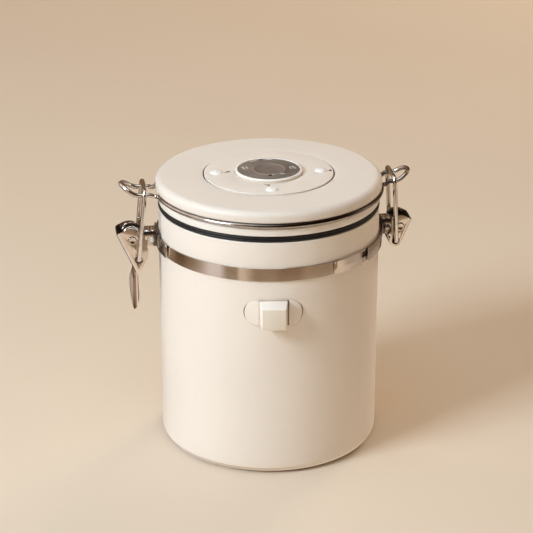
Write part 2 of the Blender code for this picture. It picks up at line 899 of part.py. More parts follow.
def bracket(name, side, web_out, pin_out, pin_height, anchor_out, strap_deg, web_side):
    """Channel on the band that carries a clamp's pin.

    The web_side is the clamp's outer side as its direction and its distance
    from the pin, which the round noses of the arms keep clear of.
    """
    strap_middle = strap_inner + bracket_strap_thickness / 2
    inside = strap_middle + bracket_sheet / 2
    facing, distance = web_side
    reach = distance - cheek_sheet - gap
    nose = []
    for step in range(bracket_nose_steps + 1):
        angle = radians(bracket_nose_deg) * (step / bracket_nose_steps - 0.5)
        radius = min(bracket_nose, reach / max(cos(angle - facing), reach / bracket_nose))
        nose.append((pin_out + radius * cos(angle), pin_height + radius * sin(angle)))
    outline = [(inside, bracket_bottom), (web_out, bracket_bottom)]
    outline += nose
    outline += [(web_out, bracket_top), (inside, bracket_top)]
    outline = [(side * out, up) for out, up in outline]
    channel = bent_prism(
        name, outline, bracket_half_width, bracket_bend,
        Vector((0.0, bracket_top)), Vector((0.0, -1.0)), polished_steel,
    )
    web_under = bracket_top - bracket_sheet
    far = pin_out + overrun
    pocket = [
        (strap_inner - overrun, bracket_bottom - overrun),
        (far, bracket_bottom - overrun),
        (far, bracket_top + overrun),
        (web_out, bracket_top + overrun),
        (web_out, web_under),
        (strap_inner - overrun, web_under),
    ]
    pocket = [(side * out, up) for out, up in pocket]
    inner_half = bracket_half_width - bracket_sheet
    tool = prism(f"{name}_pocket", pocket, -inner_half, inner_half, None)
    combine(channel, tool, "DIFFERENCE")
    strap = wrapped(
        f"{name}_strap", band_outline(strap_deg[0], strap_deg[1], False),
        strap_inner, strap_inner + bracket_strap_thickness, -pi / 2, None, 12,
    )
    flange_half = bracket_flange_half_width
    flange_low = bracket_bottom - bracket_flange_margin
    flange_high = bracket_top + bracket_flange_margin
    flange = wrapped(
        f"{name}_flange",
        [
            (-flange_half, flange_low),
            (flange_half, flange_low),
            (flange_half, flange_high),
            (-flange_half, flange_high),
        ],
        strap_middle, strap_middle + bracket_sheet, 0.0 if side > 0 else pi, None, 5,
    )
    combine(channel, flange, "UNION")
    combine(channel, strap, "UNION")
    holes = [(side * pin_out, pin_height)]
    cut_rods(channel, holes, pin_radius + pin_clearance, bracket_half_width + overrun)
    anchor = pin_along_y(
        f"{name}_anchor_hole", rod_outline(anchor_shaft_radius + gap, bracket_half_width + overrun),
        None, side * anchor_out, anchor_height, 16,
    )
    combine(channel, anchor, "DIFFERENCE")
    return channel


def anchor_rivet(name, side, out):
    """Rivet with domed heads across a bracket, through the band's loop."""
    seat = bracket_half_width + gap
    crown = seat + anchor_head_height
    outline = [(0.0, -crown)]
    outline += dome_edge(anchor_head_radius, -seat, -anchor_head_height)
    outline += [(anchor_shaft_radius, -seat), (anchor_shaft_radius, seat)]
    outline += reversed(dome_edge(anchor_head_radius, seat, anchor_head_height))
    outline.append((0.0, crown))
    return pin_along_y(name, outline, polished_steel, side * out, anchor_height, 16)


def dome_edge(radius, seat, height):
    """Half outline of a domed head, from near its crown to its seat."""
    points = []
    for step in range(1, 4):
        angle = pi / 2 * step / 3
        points.append((radius * sin(angle), seat + height * cos(angle)))
    return points


def clamp_pin(name, side, out, height):
    """Riveted pin with a flat head outside each plate."""
    seat = cheek_half_width + pin_seat_gap
    crown = seat + pin_head_height
    outline = [
        (0.0, -crown),
        (pin_head_radius, -crown),
        (pin_head_radius, -seat),
        (pin_radius, -seat),
        (pin_radius, seat),
        (pin_head_radius, seat),
        (pin_head_radius, crown),
        (0.0, crown),
    ]
    return pin_along_y(name, outline, polished_steel, side * out, height)


def folded_plates(name, outline, side, pin_out, pin_height, edge_start, edge_end):
    """Two cheeks joined by a web along the straight outer edge.

    The outline and the edge's two ends are (in, up) places measured from the
    pin, where in points towards the body.
    """
    def place(inward, up):
        return (side * (pin_out - inward), pin_height + up)

    first = Vector(place(*edge_start))
    along = (Vector(place(*edge_end)) - first).normalized()
    inward = Vector((along.y, -along.x)) * side
    plates = bent_prism(
        name, [place(*point) for point in outline], cheek_half_width, cheek_bend,
        first, inward, polished_steel,
    )
    near = first - along * overrun + inward * cheek_sheet
    far = Vector(place(*edge_end)) + inward * cheek_sheet
    depth = 4 * overrun
    pocket = [near, far, far + inward * depth, near + inward * depth]
    inner_half = cheek_half_width - cheek_sheet
    tool = prism(
        f"{name}_pocket", [tuple(point) for point in pocket], -inner_half, inner_half, None,
    )
    combine(plates, tool, "DIFFERENCE")
    return plates


def edge_from_pin(corner, edge_end):
    """Direction and distance of a straight outer edge, seen from the pin.

    Both ends are (in, up) places; the direction is in radians, measured from
    the outward axis.
    """
    start = Vector((-corner[0], corner[1]))
    along = Vector((-edge_end[0], edge_end[1])) - start
    normal = Vector((-along.y, along.x)).normalized()
    return atan2(normal.y, normal.x), start.dot(normal)


def latch_lever():
    """Toggle lever: cheeks, web and a hollow finger tail."""
    outline = rounded([
        (-lever_corner_out, lever_corner_up, lever_corner_round),
        (-lever_crown_out, lever_crown_up, lever_crown_round),
        (lever_shoulder_in, lever_shoulder_up, lever_shoulder_round),
        (lever_bulge_in, -lever_bulge_down, lever_bulge_round),
        (lever_tip_in, -lever_tip_down, lever_tip_round),
    ])
    lever = folded_plates(
        "latch_lever", outline, -1, latch_pin_out, latch_pin_height, lever_corner, lever_tip,
    )
    combine(lever, finger_tail(), "UNION")
    pin_place = (-latch_pin_out, latch_pin_height)
    cut_rods(lever, [pin_place], pin_radius + pin_clearance, cheek_half_width + overrun)
    hole = pin_along_y(
        "latch_lever_link_hole", rod_outline(link_hole_radius, cheek_half_width + overrun),
        None, lever_hole_in - latch_pin_out, latch_pin_height - lever_hole_down,
    )
    combine(lever, hole, "DIFFERENCE")
    return lever


def finger_tail():
    """Spoon-shaped tongue that grows out of the lever's web."""
    top = tail_overlap - lever_tip_down
    bottom = -lever_tip_down - tail_length
    slope = (lever_corner_out + lever_tip_in) / (lever_corner_up + lever_tip_down)
    work = bmesh.new()
    grid = []
    for row in range(tail_rows + 1):
        up = top + (bottom - top) * row / tail_rows
        grown = min((top - up) / tail_swell, 1.0)
        curl = max(-(up + lever_tip_down) / tail_length, 0.0)
        taper = max((curl - tail_taper_share) / (1 - tail_taper_share), 0.0)
        half = tail_half_width * max(sqrt(1 - taper ** 2), 1 / tail_rows)
        web = -lever_tip_in + slope * max(up + lever_tip_down, 0.0) + tail_embed
        ridge = tail_hollow * grown * grown * (3 - 2 * grown)
        out = latch_pin_out + web + ridge - tail_hook * curl ** 3
        for sheet in (0.0, cheek_sheet):
            line = []
            for column in range(tail_columns + 1):
                across = half * (2 * column / tail_columns - 1)
                bow = ridge * (across / tail_half_width) ** 2
                line.append(work.verts.new((bow + sheet - out, across, latch_pin_height + up)))
            grid.append(line)
    outer = grid[0::2]
    inner = grid[1::2]
    for row in range(tail_rows):
        for column in range(tail_columns):
            for skin in (outer, inner):
                work.faces.new((
                    skin[row][column], skin[row][column + 1],
                    skin[row + 1][column + 1], skin[row + 1][column],
                ))
        for column in (0, tail_columns):
            work.faces.new((
                outer[row][column], outer[row + 1][column],
                inner[row + 1][column], inner[row][column],
            ))
    for column in range(tail_columns):
        for row in (0, tail_rows):
            work.faces.new((
                outer[row][column], outer[row][column + 1],
                inner[row][column + 1], inner[row][column],
            ))
    return solid_from(work, "finger_tail", None)


def plate_lobe():
    """Round lower end of the hinge plates, about the hole for the link."""
    return arc(
        plate_hole_in, -plate_hole_down, plate_lobe_radius,
        plate_lobe_start_deg, plate_lobe_end_deg, plate_lobe_steps,
    )


def hinge_plates():
    """Folded plates of the hinge, riveted to their bracket."""
    corners = [
        (*plate_corner, plate_corner_round),
        (-plate_crown_out, plate_crown_up, lever_crown_round),
        (plate_inner_in, plate_inner_up, lever_shoulder_round / 2),
        (plate_inner_in, -plate_inner_down, 0.0),
        (plate_flare_in, -plate_flare_down, 0.0),
    ]
    outline = rounded(corners + [(*point, 0.0) for point in plate_lobe()])
    plates = folded_plates(
        "hinge_plates", outline, 1, hinge_pin_out, hinge_pin_height, plate_corner,
        plate_lobe()[-1],
    )
    pin_place = (hinge_pin_out, hinge_pin_height)
    cut_rods(plates, [pin_place], pin_radius + pin_clearance, cheek_half_width + overrun)
    hole = pin_along_y(
        "hinge_plates_link_hole", rod_outline(link_hole_radius, cheek_half_width + overrun),
        None, hinge_pin_out - plate_hole_in, hinge_pin_height - plate_hole_down,
    )
    combine(plates, hole, "DIFFERENCE")
    return plates


def latch_spring():
    """Torsion spring: one leg under the cross rivet, one along the lever's web."""
    facing, distance = edge_from_pin(lever_corner, lever_tip)
    start = radians(spring_start_deg)
    end = pi - facing - 2 * pi * (spring_whole_turns + 1)
    count = round((start - end) / (2 * pi) * spring_points_per_turn)
    anchor_in = latch_pin_out - latch_anchor_out
    under_anchor = anchor_height - latch_pin_height - anchor_shaft_radius - gap
    points = [(anchor_in, under_anchor - spring_wire_radius, -spring_half_width)]
    for step in range(count + 1):
        angle = start + (end - start) * step / count
        along = -spring_half_width + 2 * spring_half_width * step / count
        points.append((spring_coil_radius * cos(angle), spring_coil_radius * sin(angle), along))
    last = Vector(points[-1])
    leg = Vector((sin(end), -cos(end), 0.0)) * spring_push_leg
    points.append(tuple(last + leg))
    report_least_gap(points)
    places = [
        (-latch_pin_out + across, along, latch_pin_height + up) for across, up, along in points
    ]
    return wire("latch_spring", places, spring_wire_radius, polished_steel, section_steps=1)


def report_least_gap(points):
    """Print the least gap between turns, measured on the spring's own points."""
    least = 1.0
    apart = spring_points_per_turn // 2
    for index, point in enumerate(points):
        for other in points[index + apart:]:
            distance = hypot(point[0] - other[0], point[1] - other[1], point[2] - other[2])
            least = min(least, distance - 2 * spring_wire_radius)
    print(f"latch_spring least gap {least / mm:.2f} mm, wanted over {spring_least_gap / mm:.2f} mm")


def hook_plate():
    """Thin stadium plate that lies on the body's wall."""
    half_length = hook_plate_length / 2
    bottom = hook_height - hook_plate_drop - hook_plate_height / 2
    top = bottom + hook_plate_height
    outline = rounded([
        (-half_length, bottom, hook_plate_round),
        (half_length, bottom, hook_plate_round),
        (half_length, top, hook_plate_round),
        (-half_length, top, hook_plate_round),
    ])
    inner = body_radius + gap
    turn = -pi / 2 + radians(hook_turn_deg)
    return wrapped(
        "hook_plate", outline, inner, inner + hook_plate_thickness, turn, cream_plastic, 10,
    )


def hook_block():
    """Tapered block that stands out of the plate and holds the scoop."""
    back = body_radius + hook_plate_thickness
    seat_radius = body_radius + gap + hook_plate_thickness + gap
    front = seat_radius + hook_reach
    work = bmesh.new()
    rows = []
    for depth, width, height in (
        (back, hook_root_width, hook_root_height),
        (front, hook_face_width, hook_face_height),
    ):
        row = []
        for across, up in ((-1, -1), (1, -1), (1, 1), (-1, 1)):
            row.append(work.verts.new((across * width / 2, -depth, hook_height + up * height / 2)))
        rows.append(row)
    for index in range(4):
        after = (index + 1) % 4
        work.faces.new((rows[0][index], rows[0][after], rows[1][after], rows[1][index]))
    work.faces.new(rows[0])
    work.faces.new(rows[1])
    front_edges = [edge for edge in work.edges if not all(v in rows[0] for v in edge.verts)]
    bmesh.ops.bevel(
        work, geom=front_edges, offset=hook_edge, segments=2, profile=0.5, affect="EDGES",
    )
    bmesh.ops.transform(
        work, verts=work.verts, matrix=Matrix.Rotation(radians(hook_turn_deg), 4, "Z"),
    )
    block = solid_from(work, "hook_block", cream_plastic)
    half = hook_root_height
    seat = turned(
        "hook_seat",
        [
            (0.0, hook_height - half),
            (seat_radius, hook_height - half),
            (seat_radius, hook_height + half),
            (0.0, hook_height + half),
        ],
        None, round_steps * 2,
    )
    combine(block, seat, "DIFFERENCE")
    return block


def build():
    """Model every piece and hang the moving ones on their pivots."""
    clear_scene()
    body()
    clamp_band()
    latch_straps = (-90.0 - latch_strap_half_deg, -90.0 + latch_strap_half_deg)
    hinge_straps = (hinge_strap_start_deg, hinge_strap_end_deg)
    bracket(
        "latch_bracket", -1, latch_web_out, latch_pin_out, latch_pin_height,
        latch_anchor_out, latch_straps, edge_from_pin(lever_corner, lever_tip),
    )
    bracket(
        "hinge_bracket", 1, hinge_web_out, hinge_pin_out, hinge_pin_height,
        hinge_anchor_out, hinge_straps, edge_from_pin(plate_corner, plate_lobe()[-1]),
    )
    anchor_rivet("latch_anchor_rivet", -1, latch_anchor_out)
    anchor_rivet("hinge_anchor_rivet", 1, hinge_anchor_out)
    clamp_pin("latch_pin", -1, latch_pin_out, latch_pin_height)
    clamp_pin("hinge_pin", 1, hinge_pin_out, hinge_pin_height)
    latch_spring()
    hinge_plates()
    hook_plate()
    hook_block()

    lever_pivot = pivot("latch_lever_pivot", -latch_pin_out, latch_pin_height)
    carry(latch_lever(), lever_pivot)
    latch_foot_out = latch_pin_out - lever_hole_in
    latch_foot_height = latch_pin_height - lever_hole_down
    latch_bar_height = latch_ear_height + 2 * wire_radius + latch_bar_gap
    link_pivot = pivot("latch_link_pivot", -latch_foot_out, latch_foot_height, lever_pivot)
    carry(
        link(
            "latch_link", -1, latch_foot_out, latch_foot_height, latch_bar_out, latch_bar_height,
        ),
        link_pivot,
    )

    hinge_foot_out = hinge_pin_out - plate_hole_in
    hinge_foot_height = hinge_pin_height - plate_hole_down
    hinge_bar_height = hinge_ear_height + 2 * wire_radius + hinge_bar_gap
    hinge_pivot = pivot("hinge_link_pivot", hinge_foot_out, hinge_foot_height)
    carry(
        link("hinge_link", 1, hinge_foot_out, hinge_foot_height, hinge_bar_out, hinge_bar_height),
        hinge_pivot,
    )
    lid_pivot = pivot("lid_pivot", hinge_bar_out, hinge_bar_height, hinge_pivot)
    lid_pieces = (
        lid_base(), gasket(), lid_cover(), lid_wire(), dial_ring(), valve_bezel(),
        date_plate(), valve_body(), valve_flap(), valve_filter(),
    )
    for piece in lid_pieces:
        carry(piece, lid_pivot)


build()
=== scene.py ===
"""Coffee canister with a clamp lid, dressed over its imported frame.

Lengths are written in millimetres and scaled once, where a piece is drawn. The
latch is at -X, the hinge at +X, the front at -Y, and the base stands on Z = 0.
"""

from math import atan2, cos, pi, radians, sin, sqrt, tan

import bpy
from mathutils import Euler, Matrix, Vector


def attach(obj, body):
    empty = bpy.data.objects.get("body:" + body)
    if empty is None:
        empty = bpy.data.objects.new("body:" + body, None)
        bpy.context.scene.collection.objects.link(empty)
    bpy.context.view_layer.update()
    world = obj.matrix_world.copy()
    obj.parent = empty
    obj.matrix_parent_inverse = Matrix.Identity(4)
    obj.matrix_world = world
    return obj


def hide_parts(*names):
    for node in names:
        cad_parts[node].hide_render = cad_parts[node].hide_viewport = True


mm = 0.001
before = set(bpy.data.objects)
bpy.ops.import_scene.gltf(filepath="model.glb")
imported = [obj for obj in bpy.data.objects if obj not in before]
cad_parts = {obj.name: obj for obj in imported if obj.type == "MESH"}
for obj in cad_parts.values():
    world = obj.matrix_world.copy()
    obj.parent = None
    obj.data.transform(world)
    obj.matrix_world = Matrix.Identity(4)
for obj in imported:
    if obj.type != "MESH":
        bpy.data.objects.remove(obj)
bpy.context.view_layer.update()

# Sizes in millimetres and turns in degrees that several pieces share
can_radius, can_height, can_wall = 60.0, 135.0, 0.8
foot_round, rim_round = 6.0, 0.6
band_low, band_high = 113.7, 121.1
band_outer = 60.9
slot_turn = 44.9
hook_turn = -6.0
hook_level = 96.2
plate_level = 95.9
plate_straight = 8.2
plate_round = 7.0
block_front = 70.6
pin_radius, pin_shaft, pin_seat = 2.2, 1.4, 7.25
latch_pin_out, latch_pin_level = -75.04, 119.6
hinge_pin_out, hinge_pin_level = 71.8, 119.5
anchor_level = 119.1
web_top = 122.7
handle_top = 99.0
wire_radius = 1.2
ring_radius, ring_level = 61.0, 144.5
latch_eye, hinge_eye = (-72.0, 108.4), (69.5, 111.4)
latch_bar, hinge_bar = (-67.9, 148.2), (67.3, 149.0)
cover_top, cover_round = 152.0, 3.5
dial_radius, dial_top = 35.0, 152.6
disc_top = 154.2
dial_mark_level, disc_mark_level = 152.58, 154.19


# Drawing and shaping


def only(piece=None):
    """Leave edit mode and select one piece, or nothing."""
    if bpy.context.object and bpy.context.object.mode != "OBJECT":
        bpy.ops.object.mode_set(mode="OBJECT")
    bpy.ops.object.select_all(action="DESELECT")
    if piece:
        piece.select_set(True)
        bpy.context.view_layer.objects.active = piece


def arc(across, up, radius, start, end, steps=8):
    """Points of an arc, with angles in degrees from the first axis."""
    angles = [radians(start + (end - start) * step / steps) for step in range(steps + 1)]
    return [(across + radius * cos(angle), up + radius * sin(angle)) for angle in angles]


def draw(name, points, closed=False):
    """Draw a run of edges by extruding one vertex from point to point."""
    only()
    bpy.ops.mesh.primitive_plane_add(size=mm)
    piece = bpy.context.object
    piece.name = piece.data.name = name
    bpy.ops.object.mode_set(mode="EDIT")
    bpy.ops.mesh.merge(type="CENTER")
    path = [Vector(point) * mm for point in points]
    bpy.ops.transform.translate(value=path[0])
    ends = path[1:] + path[:1] if closed else path[1:]
    for before, after in zip(path, ends):
        bpy.ops.mesh.extrude_region_move(TRANSFORM_OT_translate={"value": after - before})
    join_up()
    return piece


def join_up():
    """Merge what lies together in the mesh being edited."""
    bpy.ops.mesh.select_all(action="SELECT")
    bpy.ops.mesh.remove_doubles(threshold=0.0005 * mm)


def turn_out():
    """Merge, point every face outwards and go back to object mode."""
    join_up()
    bpy.ops.mesh.normals_make_consistent(inside=False)
    bpy.ops.object.mode_set(mode="OBJECT")


def smooth(piece, degrees=35.0):
    """Shade round faces smooth and keep sharp corners sharp."""
    only(piece)
    bpy.ops.object.shade_smooth_by_angle(angle=radians(degrees))
    return piece


def lathe(name, outline, steps=160):
    """Spin an outline of (radius, height) about the vertical axis.

    An outline that begins and ends on the axis stays open there.
    """
    on_axis = outline[0][0] == 0.0 and outline[-1][0] == 0.0
    piece = draw(name, [(radius, 0.0, height) for radius, height in outline], not on_axis)
    bpy.ops.mesh.spin(steps=steps, angle=2 * pi, center=(0, 0, 0), axis=(0, 0, 1))
    turn_out()
    return smooth(piece)


def tube(name, points, radius, closed=False, rounds=5):
    """Give a run of points a round section and filled ends."""
    piece = draw(name, points, closed)
    bpy.ops.object.mode_set(mode="OBJECT")
    bpy.ops.object.convert(target="CURVE")
    piece = bpy.context.object
    piece.data.bevel_depth = radius * mm
    piece.data.bevel_resolution = rounds
    piece.data.use_fill_caps = True
    bpy.ops.object.convert(target="MESH")
    piece = bpy.context.object
    bpy.ops.object.mode_set(mode="EDIT")
    turn_out()
    return smooth(piece, 50.0)


def soften(piece, width, segments=2, degrees=30.0):
    """Round the sharp edges of a piece."""
    bevel = piece.modifiers.new("soft_edges", "BEVEL")
    bevel.width = width * mm
    bevel.segments = segments
    bevel.limit_method = "ANGLE"
    bevel.angle_limit = radians(degrees)
    only(piece)
    bpy.ops.object.modifier_apply(modifier=bevel.name)
    return piece


def cut(piece, tool, operation="DIFFERENCE"):
    """Cut a piece with a tool, which is used up."""
    modifier = piece.modifiers.new("cut", "BOOLEAN")
    modifier.operation = operation
    modifier.object = tool
    modifier.solver = "EXACT"
    only(piece)
    bpy.ops.object.modifier_apply(modifier=modifier.name)
    bpy.data.objects.remove(tool, do_unlink=True)
    return piece


def plate(name, outline, thickness, columns=1):
    """Fill an (x, z) outline and thicken it towards the front."""
    piece = draw(name, [(across, 0.0, up) for across, up in outline], True)
    bpy.ops.mesh.edge_face_add()
    start = min(across for across, up in outline)
    length = max(across for across, up in outline) - start
    for column in range(1, columns):
        bpy.ops.mesh.select_all(action="SELECT")
        bpy.ops.mesh.bisect(
            plane_co=((start + length * column / columns) * mm, 0, 0), plane_no=(1, 0, 0),
        )
    bpy.ops.mesh.select_all(action="SELECT")
    bpy.ops.mesh.extrude_region_move(TRANSFORM_OT_translate={"value": (0, -thickness * mm, 0)})
    turn_out()
    return piece


def wrap(piece, radius, azimuth):
    """Lay a flat plate round the canister; the azimuth runs from -Y to +X."""
    for vertex in piece.data.vertices:
        along, out, up = vertex.co
        angle = radians(azimuth) + along / (radius * mm)
        reach = radius * mm - out
        vertex.co = (reach * sin(angle), -reach * cos(angle), up)
    return smooth(piece)


def lay_along_y(piece, out, height):
    """Turn a lathed piece so that its axis runs along Y, and put it in place."""
    only(piece)
    piece.rotation_euler = (pi / 2, 0, 0)
    piece.location = (out * mm, 0.0, height * mm)
    bpy.ops.object.transform_apply()
    return piece


def join(name, *parts):
    """Make several parts one piece."""
    only(parts[0])
    for part in parts[1:]:
        part.select_set(True)
    bpy.ops.object.join()
    piece = bpy.context.object
    piece.name = piece.data.name = name
    return piece


def reworked(node, edge):
    """Copy a node of the frame, merge its mesh and round its edges."""
    piece = bpy.data.objects.new(node + "_worked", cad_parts[node].data.copy())
    bpy.context.scene.collection.objects.link(piece)
    only(piece)
    bpy.ops.object.mode_set(mode="EDIT")
    join_up()
    bpy.ops.mesh.dissolve_limited(angle_limit=radians(0.5))
    bpy.ops.object.mode_set(mode="OBJECT")
    return smooth(soften(piece, edge))


def put(piece, body, slot, finish, *nodes):
    """Hang a finished piece on its body and give it its material."""
    piece.data.materials.clear()
    piece.data.materials.append(finish)
    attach(piece, body)
    if nodes:
        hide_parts(*nodes)


# Surface recipes


class Value:
    """A number that changes over a surface; arithmetic on it adds Math nodes."""

    def __init__(self, recipe, socket):
        self.recipe = recipe
        self.socket = socket

    def maths(self, operation, *others):
        sockets = dict(enumerate((self, *others)))
        return self.recipe.node("ShaderNodeMath", {"operation": operation}, sockets)[0]

    def __add__(self, other):
        return self.maths("ADD", other)

    __radd__ = __add__

    def __mul__(self, other):
        return self.maths("MULTIPLY", other)

    __rmul__ = __mul__

    def __sub__(self, other):
        return self.maths("SUBTRACT", other)

    def __rsub__(self, other):
        return (self * -1.0) + other

    def __truediv__(self, other):
        return self.maths("DIVIDE", other)

    def __pow__(self, other):
        return self.maths("POWER", other)

    def above(self, level, width):
        """Rise from 0 to 1 across a band around a level."""
        spread = {"data_type": "FLOAT", "clamp": True, "interpolation_type": "SMOOTHSTEP"}
        sockets = {"Value": self, "From Min": level - width / 2, "From Max": level + width / 2}
        return self.recipe.node("ShaderNodeMapRange", spread, sockets)["Result"]

    def below(self, level, width):
        """Fall from 1 to 0 across a band around a level."""
        return 1.0 - self.above(level, width)

    def near(self, level, width):
        """Peak at a level and fade out on both sides."""
        return (self - level).maths("ABSOLUTE").below(width / 2, width / 2)


class Outputs:
    """The outputs of one node, by name or number."""

    def __init__(self, recipe, made):
        self.recipe = recipe
        self.made = made

    def __getitem__(self, key):
        return Value(self.recipe, self.made.outputs[key])


class Recipe:
    """The nodes of one material, around its Principled shader."""

    def __init__(self, name, **constants):
        self.material = bpy.data.materials.new(name)
        self.material.use_nodes = True
        self.tree = self.material.node_tree
        self.shader = self.tree.nodes["Principled BSDF"]
        for socket, value in constants.items():
            label = socket.replace("_", " ").title().replace("Ior", "IOR")
            self.shader.inputs[label].default_value = value
        self.place = self.node("ShaderNodeTexCoord")["Object"]
        parts = self.node("ShaderNodeSeparateXYZ", {}, {"Vector": self.place})
        self.x, self.y, self.z = parts["X"], parts["Y"], parts["Z"]

    def node(self, kind, settings=None, sockets=None):
        """Add a node, with its settings first and then its sockets."""
        made = self.tree.nodes.new(kind)
        for name, value in (settings or {}).items():
            if name == "stops":
                ramp = made.color_ramp
                while len(ramp.elements) < len(value):
                    ramp.elements.new(1.0)
                for element, (position, colour) in zip(ramp.elements, value):
                    element.position = position
                    element.color = (*colour, 1.0)
            else:
                setattr(made, name, value)
        for name, value in (sockets or {}).items():
            if isinstance(value, Value):
                self.tree.links.new(value.socket, made.inputs[name])
            else:
                made.inputs[name].default_value = value
        return Outputs(self, made)

    def from_axis(self):
        """Distance from the canister's axis."""
        return (self.x * self.x + self.y * self.y) ** 0.5

    def turn_from_hook(self):
        """Angle round the axis from the middle of the hook's plate."""
        return self.x.maths("ARCTAN2", self.y * -1.0) + radians(-hook_turn)

    def noise(self, size, detail=2.0, roughness=0.5, stretch=None):
        """Noise with features of about this size in millimetres."""
        place = self.place
        if stretch:
            scaled = self.node("ShaderNodeVectorMath", {"operation": "MULTIPLY"}, {0: place, 1: stretch})
            place = scaled["Vector"]
        sockets = {"Vector": place, "Scale": 1.0 / (size * mm), "Detail": detail, "Roughness": roughness}
        return self.node("ShaderNodeTexNoise", {}, sockets)[0]

    def specks(self, size, share, seed=0.0):
        """Small scattered spots: the share is how much of a cell one fills."""
        shift = {0: self.place, 1: (seed, seed, seed)}
        moved = self.node("ShaderNodeVectorMath", {"operation": "ADD"}, shift)
        sockets = {"Vector": moved["Vector"], "Scale": 1.0 / (size * mm)}
        cells = self.node("ShaderNodeTexVoronoi", {"feature": "F1"}, sockets)
        return cells["Distance"].below(share, share / 2)

    def mix(self, share, first, second):
        """Blend two colours; each is a tuple or an output."""
        sockets = {0: share, 6: self.colour(first), 7: self.colour(second)}
        return self.node("ShaderNodeMix", {"data_type": "RGBA"}, sockets)[2]

    @staticmethod
    def colour(value):
        return value if isinstance(value, Value) else (*value, 1.0)

    def bump(self, height, distance, strength=1.0, under=None):
        """Turn heights from 0 to 1 into a normal; the distance is in millimetres."""
        sockets = {"Height": height, "Distance": distance * mm, "Strength": strength}
        if under:
            sockets["Normal"] = under
        return self.node("ShaderNodeBump", {}, sockets)["Normal"]

    def feed(self, **sockets):
        """Connect what changes over the surface, and return the material."""
        for name, value in sockets.items():
            self.tree.links.new(value.socket, self.shader.inputs[name.replace("_", " ").title()])
        return self.material


def toned(share, colour):
    """A darker tone of a colour."""
    return tuple(share * part for part in colour)


def shade(red, green, blue):
    """Linear colour of an sRGB colour given from 0 to 255."""
    def linear(channel):
        share = channel / 255.0
        return share / 12.92 if share <= 0.04045 else ((share + 0.055) / 1.055) ** 2.4

    return linear(red), linear(green), linear(blue)


def powder_coat(name, colour, is_can=False):
    """Satin powder coat with fine orange peel and light handling marks.

    On the can it ends at the rim, with painted shade in the gap round the hook's plate.
    On the lid it darkens towards the edge, with painted shade in the gap round the dial.
    """
    recipe = Recipe(name, ior=1.47, metallic=0.0, coat_roughness=0.3)
    broad = recipe.noise(55.0, 3.0)
    peel = recipe.noise(1.1, 2.0, 0.45)
    grain = recipe.noise(0.28, 1.0)
    scuffs = recipe.noise(9.0, 4.0, 0.65, (1.0, 1.0, 0.35)).above(0.63, 0.1)
    dust = recipe.specks(4.2, 0.035)
    light = recipe.mix(broad.above(0.5, 0.5), toned(0.975, colour), colour)
    tinted = recipe.mix(scuffs * 0.05, light, toned(0.72, colour))
    painted = recipe.mix(dust * 0.25, tinted, toned(0.6, colour))
    roughness = 0.40 + broad * 0.06 + scuffs * 0.08
    coated = recipe.bump(peel * 0.75 + grain * 0.25, 0.022, 0.6)
    radius = recipe.from_axis()
    if not is_can:
        # The lid's paint is mixed darker towards its rounded edge.
        edge_darkening = radius.above(58.6 * mm, 3.0 * mm) * 0.35
        sideways = (recipe.x / (radius + 0.001 * mm)).maths("ABSOLUTE") ** 3.0
        # Painted shade in the gap round the dial, strongest at the sides.
        dial_gap_shade = recipe.z.below((cover_top - 0.04) * mm, 0.1 * mm)
        dial_gap_shade = dial_gap_shade * radius.near((dial_radius + 0.3) * mm, 0.9 * mm)
        worn = recipe.mix(edge_darkening, painted, toned(0.86, colour))
        gap_shaded = recipe.mix(dial_gap_shade * (0.25 + sideways * 0.75), worn, shade(52, 38, 28))
        return recipe.feed(base_color=gap_shaded, roughness=roughness, normal=coated)
    # Painted shade in the gap round the hook's plate, strongest at its ends.
    along = (recipe.turn_from_hook() * (can_radius * mm)).maths("ABSOLUTE")
    past_straight = (along - plate_straight * mm).maths("MAXIMUM", 0.0)
    above_middle = recipe.z - plate_level * mm
    from_plate = (past_straight * past_straight + above_middle * above_middle) ** 0.5
    from_plate = from_plate - (plate_round + 0.15) * mm
    end_share = along.above(12.6 * mm, 4.0 * mm)
    end_share = end_share * above_middle.maths("ABSOLUTE").below(3.6 * mm, 4.6 * mm)
    plate_gap_shade = from_plate.near(0.15 * mm, 0.55 * mm) * (0.04 + end_share * 0.95)
    painted = recipe.mix(plate_gap_shade, painted, shade(70, 50, 36))
    # The inside of the can is bare steel with fine drawing lines
    bare = radius.below(59.55 * mm, 0.2 * mm) * recipe.z.above(0.6 * mm, 0.2 * mm)
    lines = recipe.noise(1.6, 2.0, 0.6, (0.05, 0.05, 1.0))
    steel = recipe.mix(lines, shade(188, 184, 178), shade(212, 208, 201))
    return recipe.feed(
        base_color=recipe.mix(bare, painted, steel),
        metallic=bare,
        roughness=roughness * (1.0 - bare) + bare * (0.24 + lines * 0.12),
        normal=coated,
    )


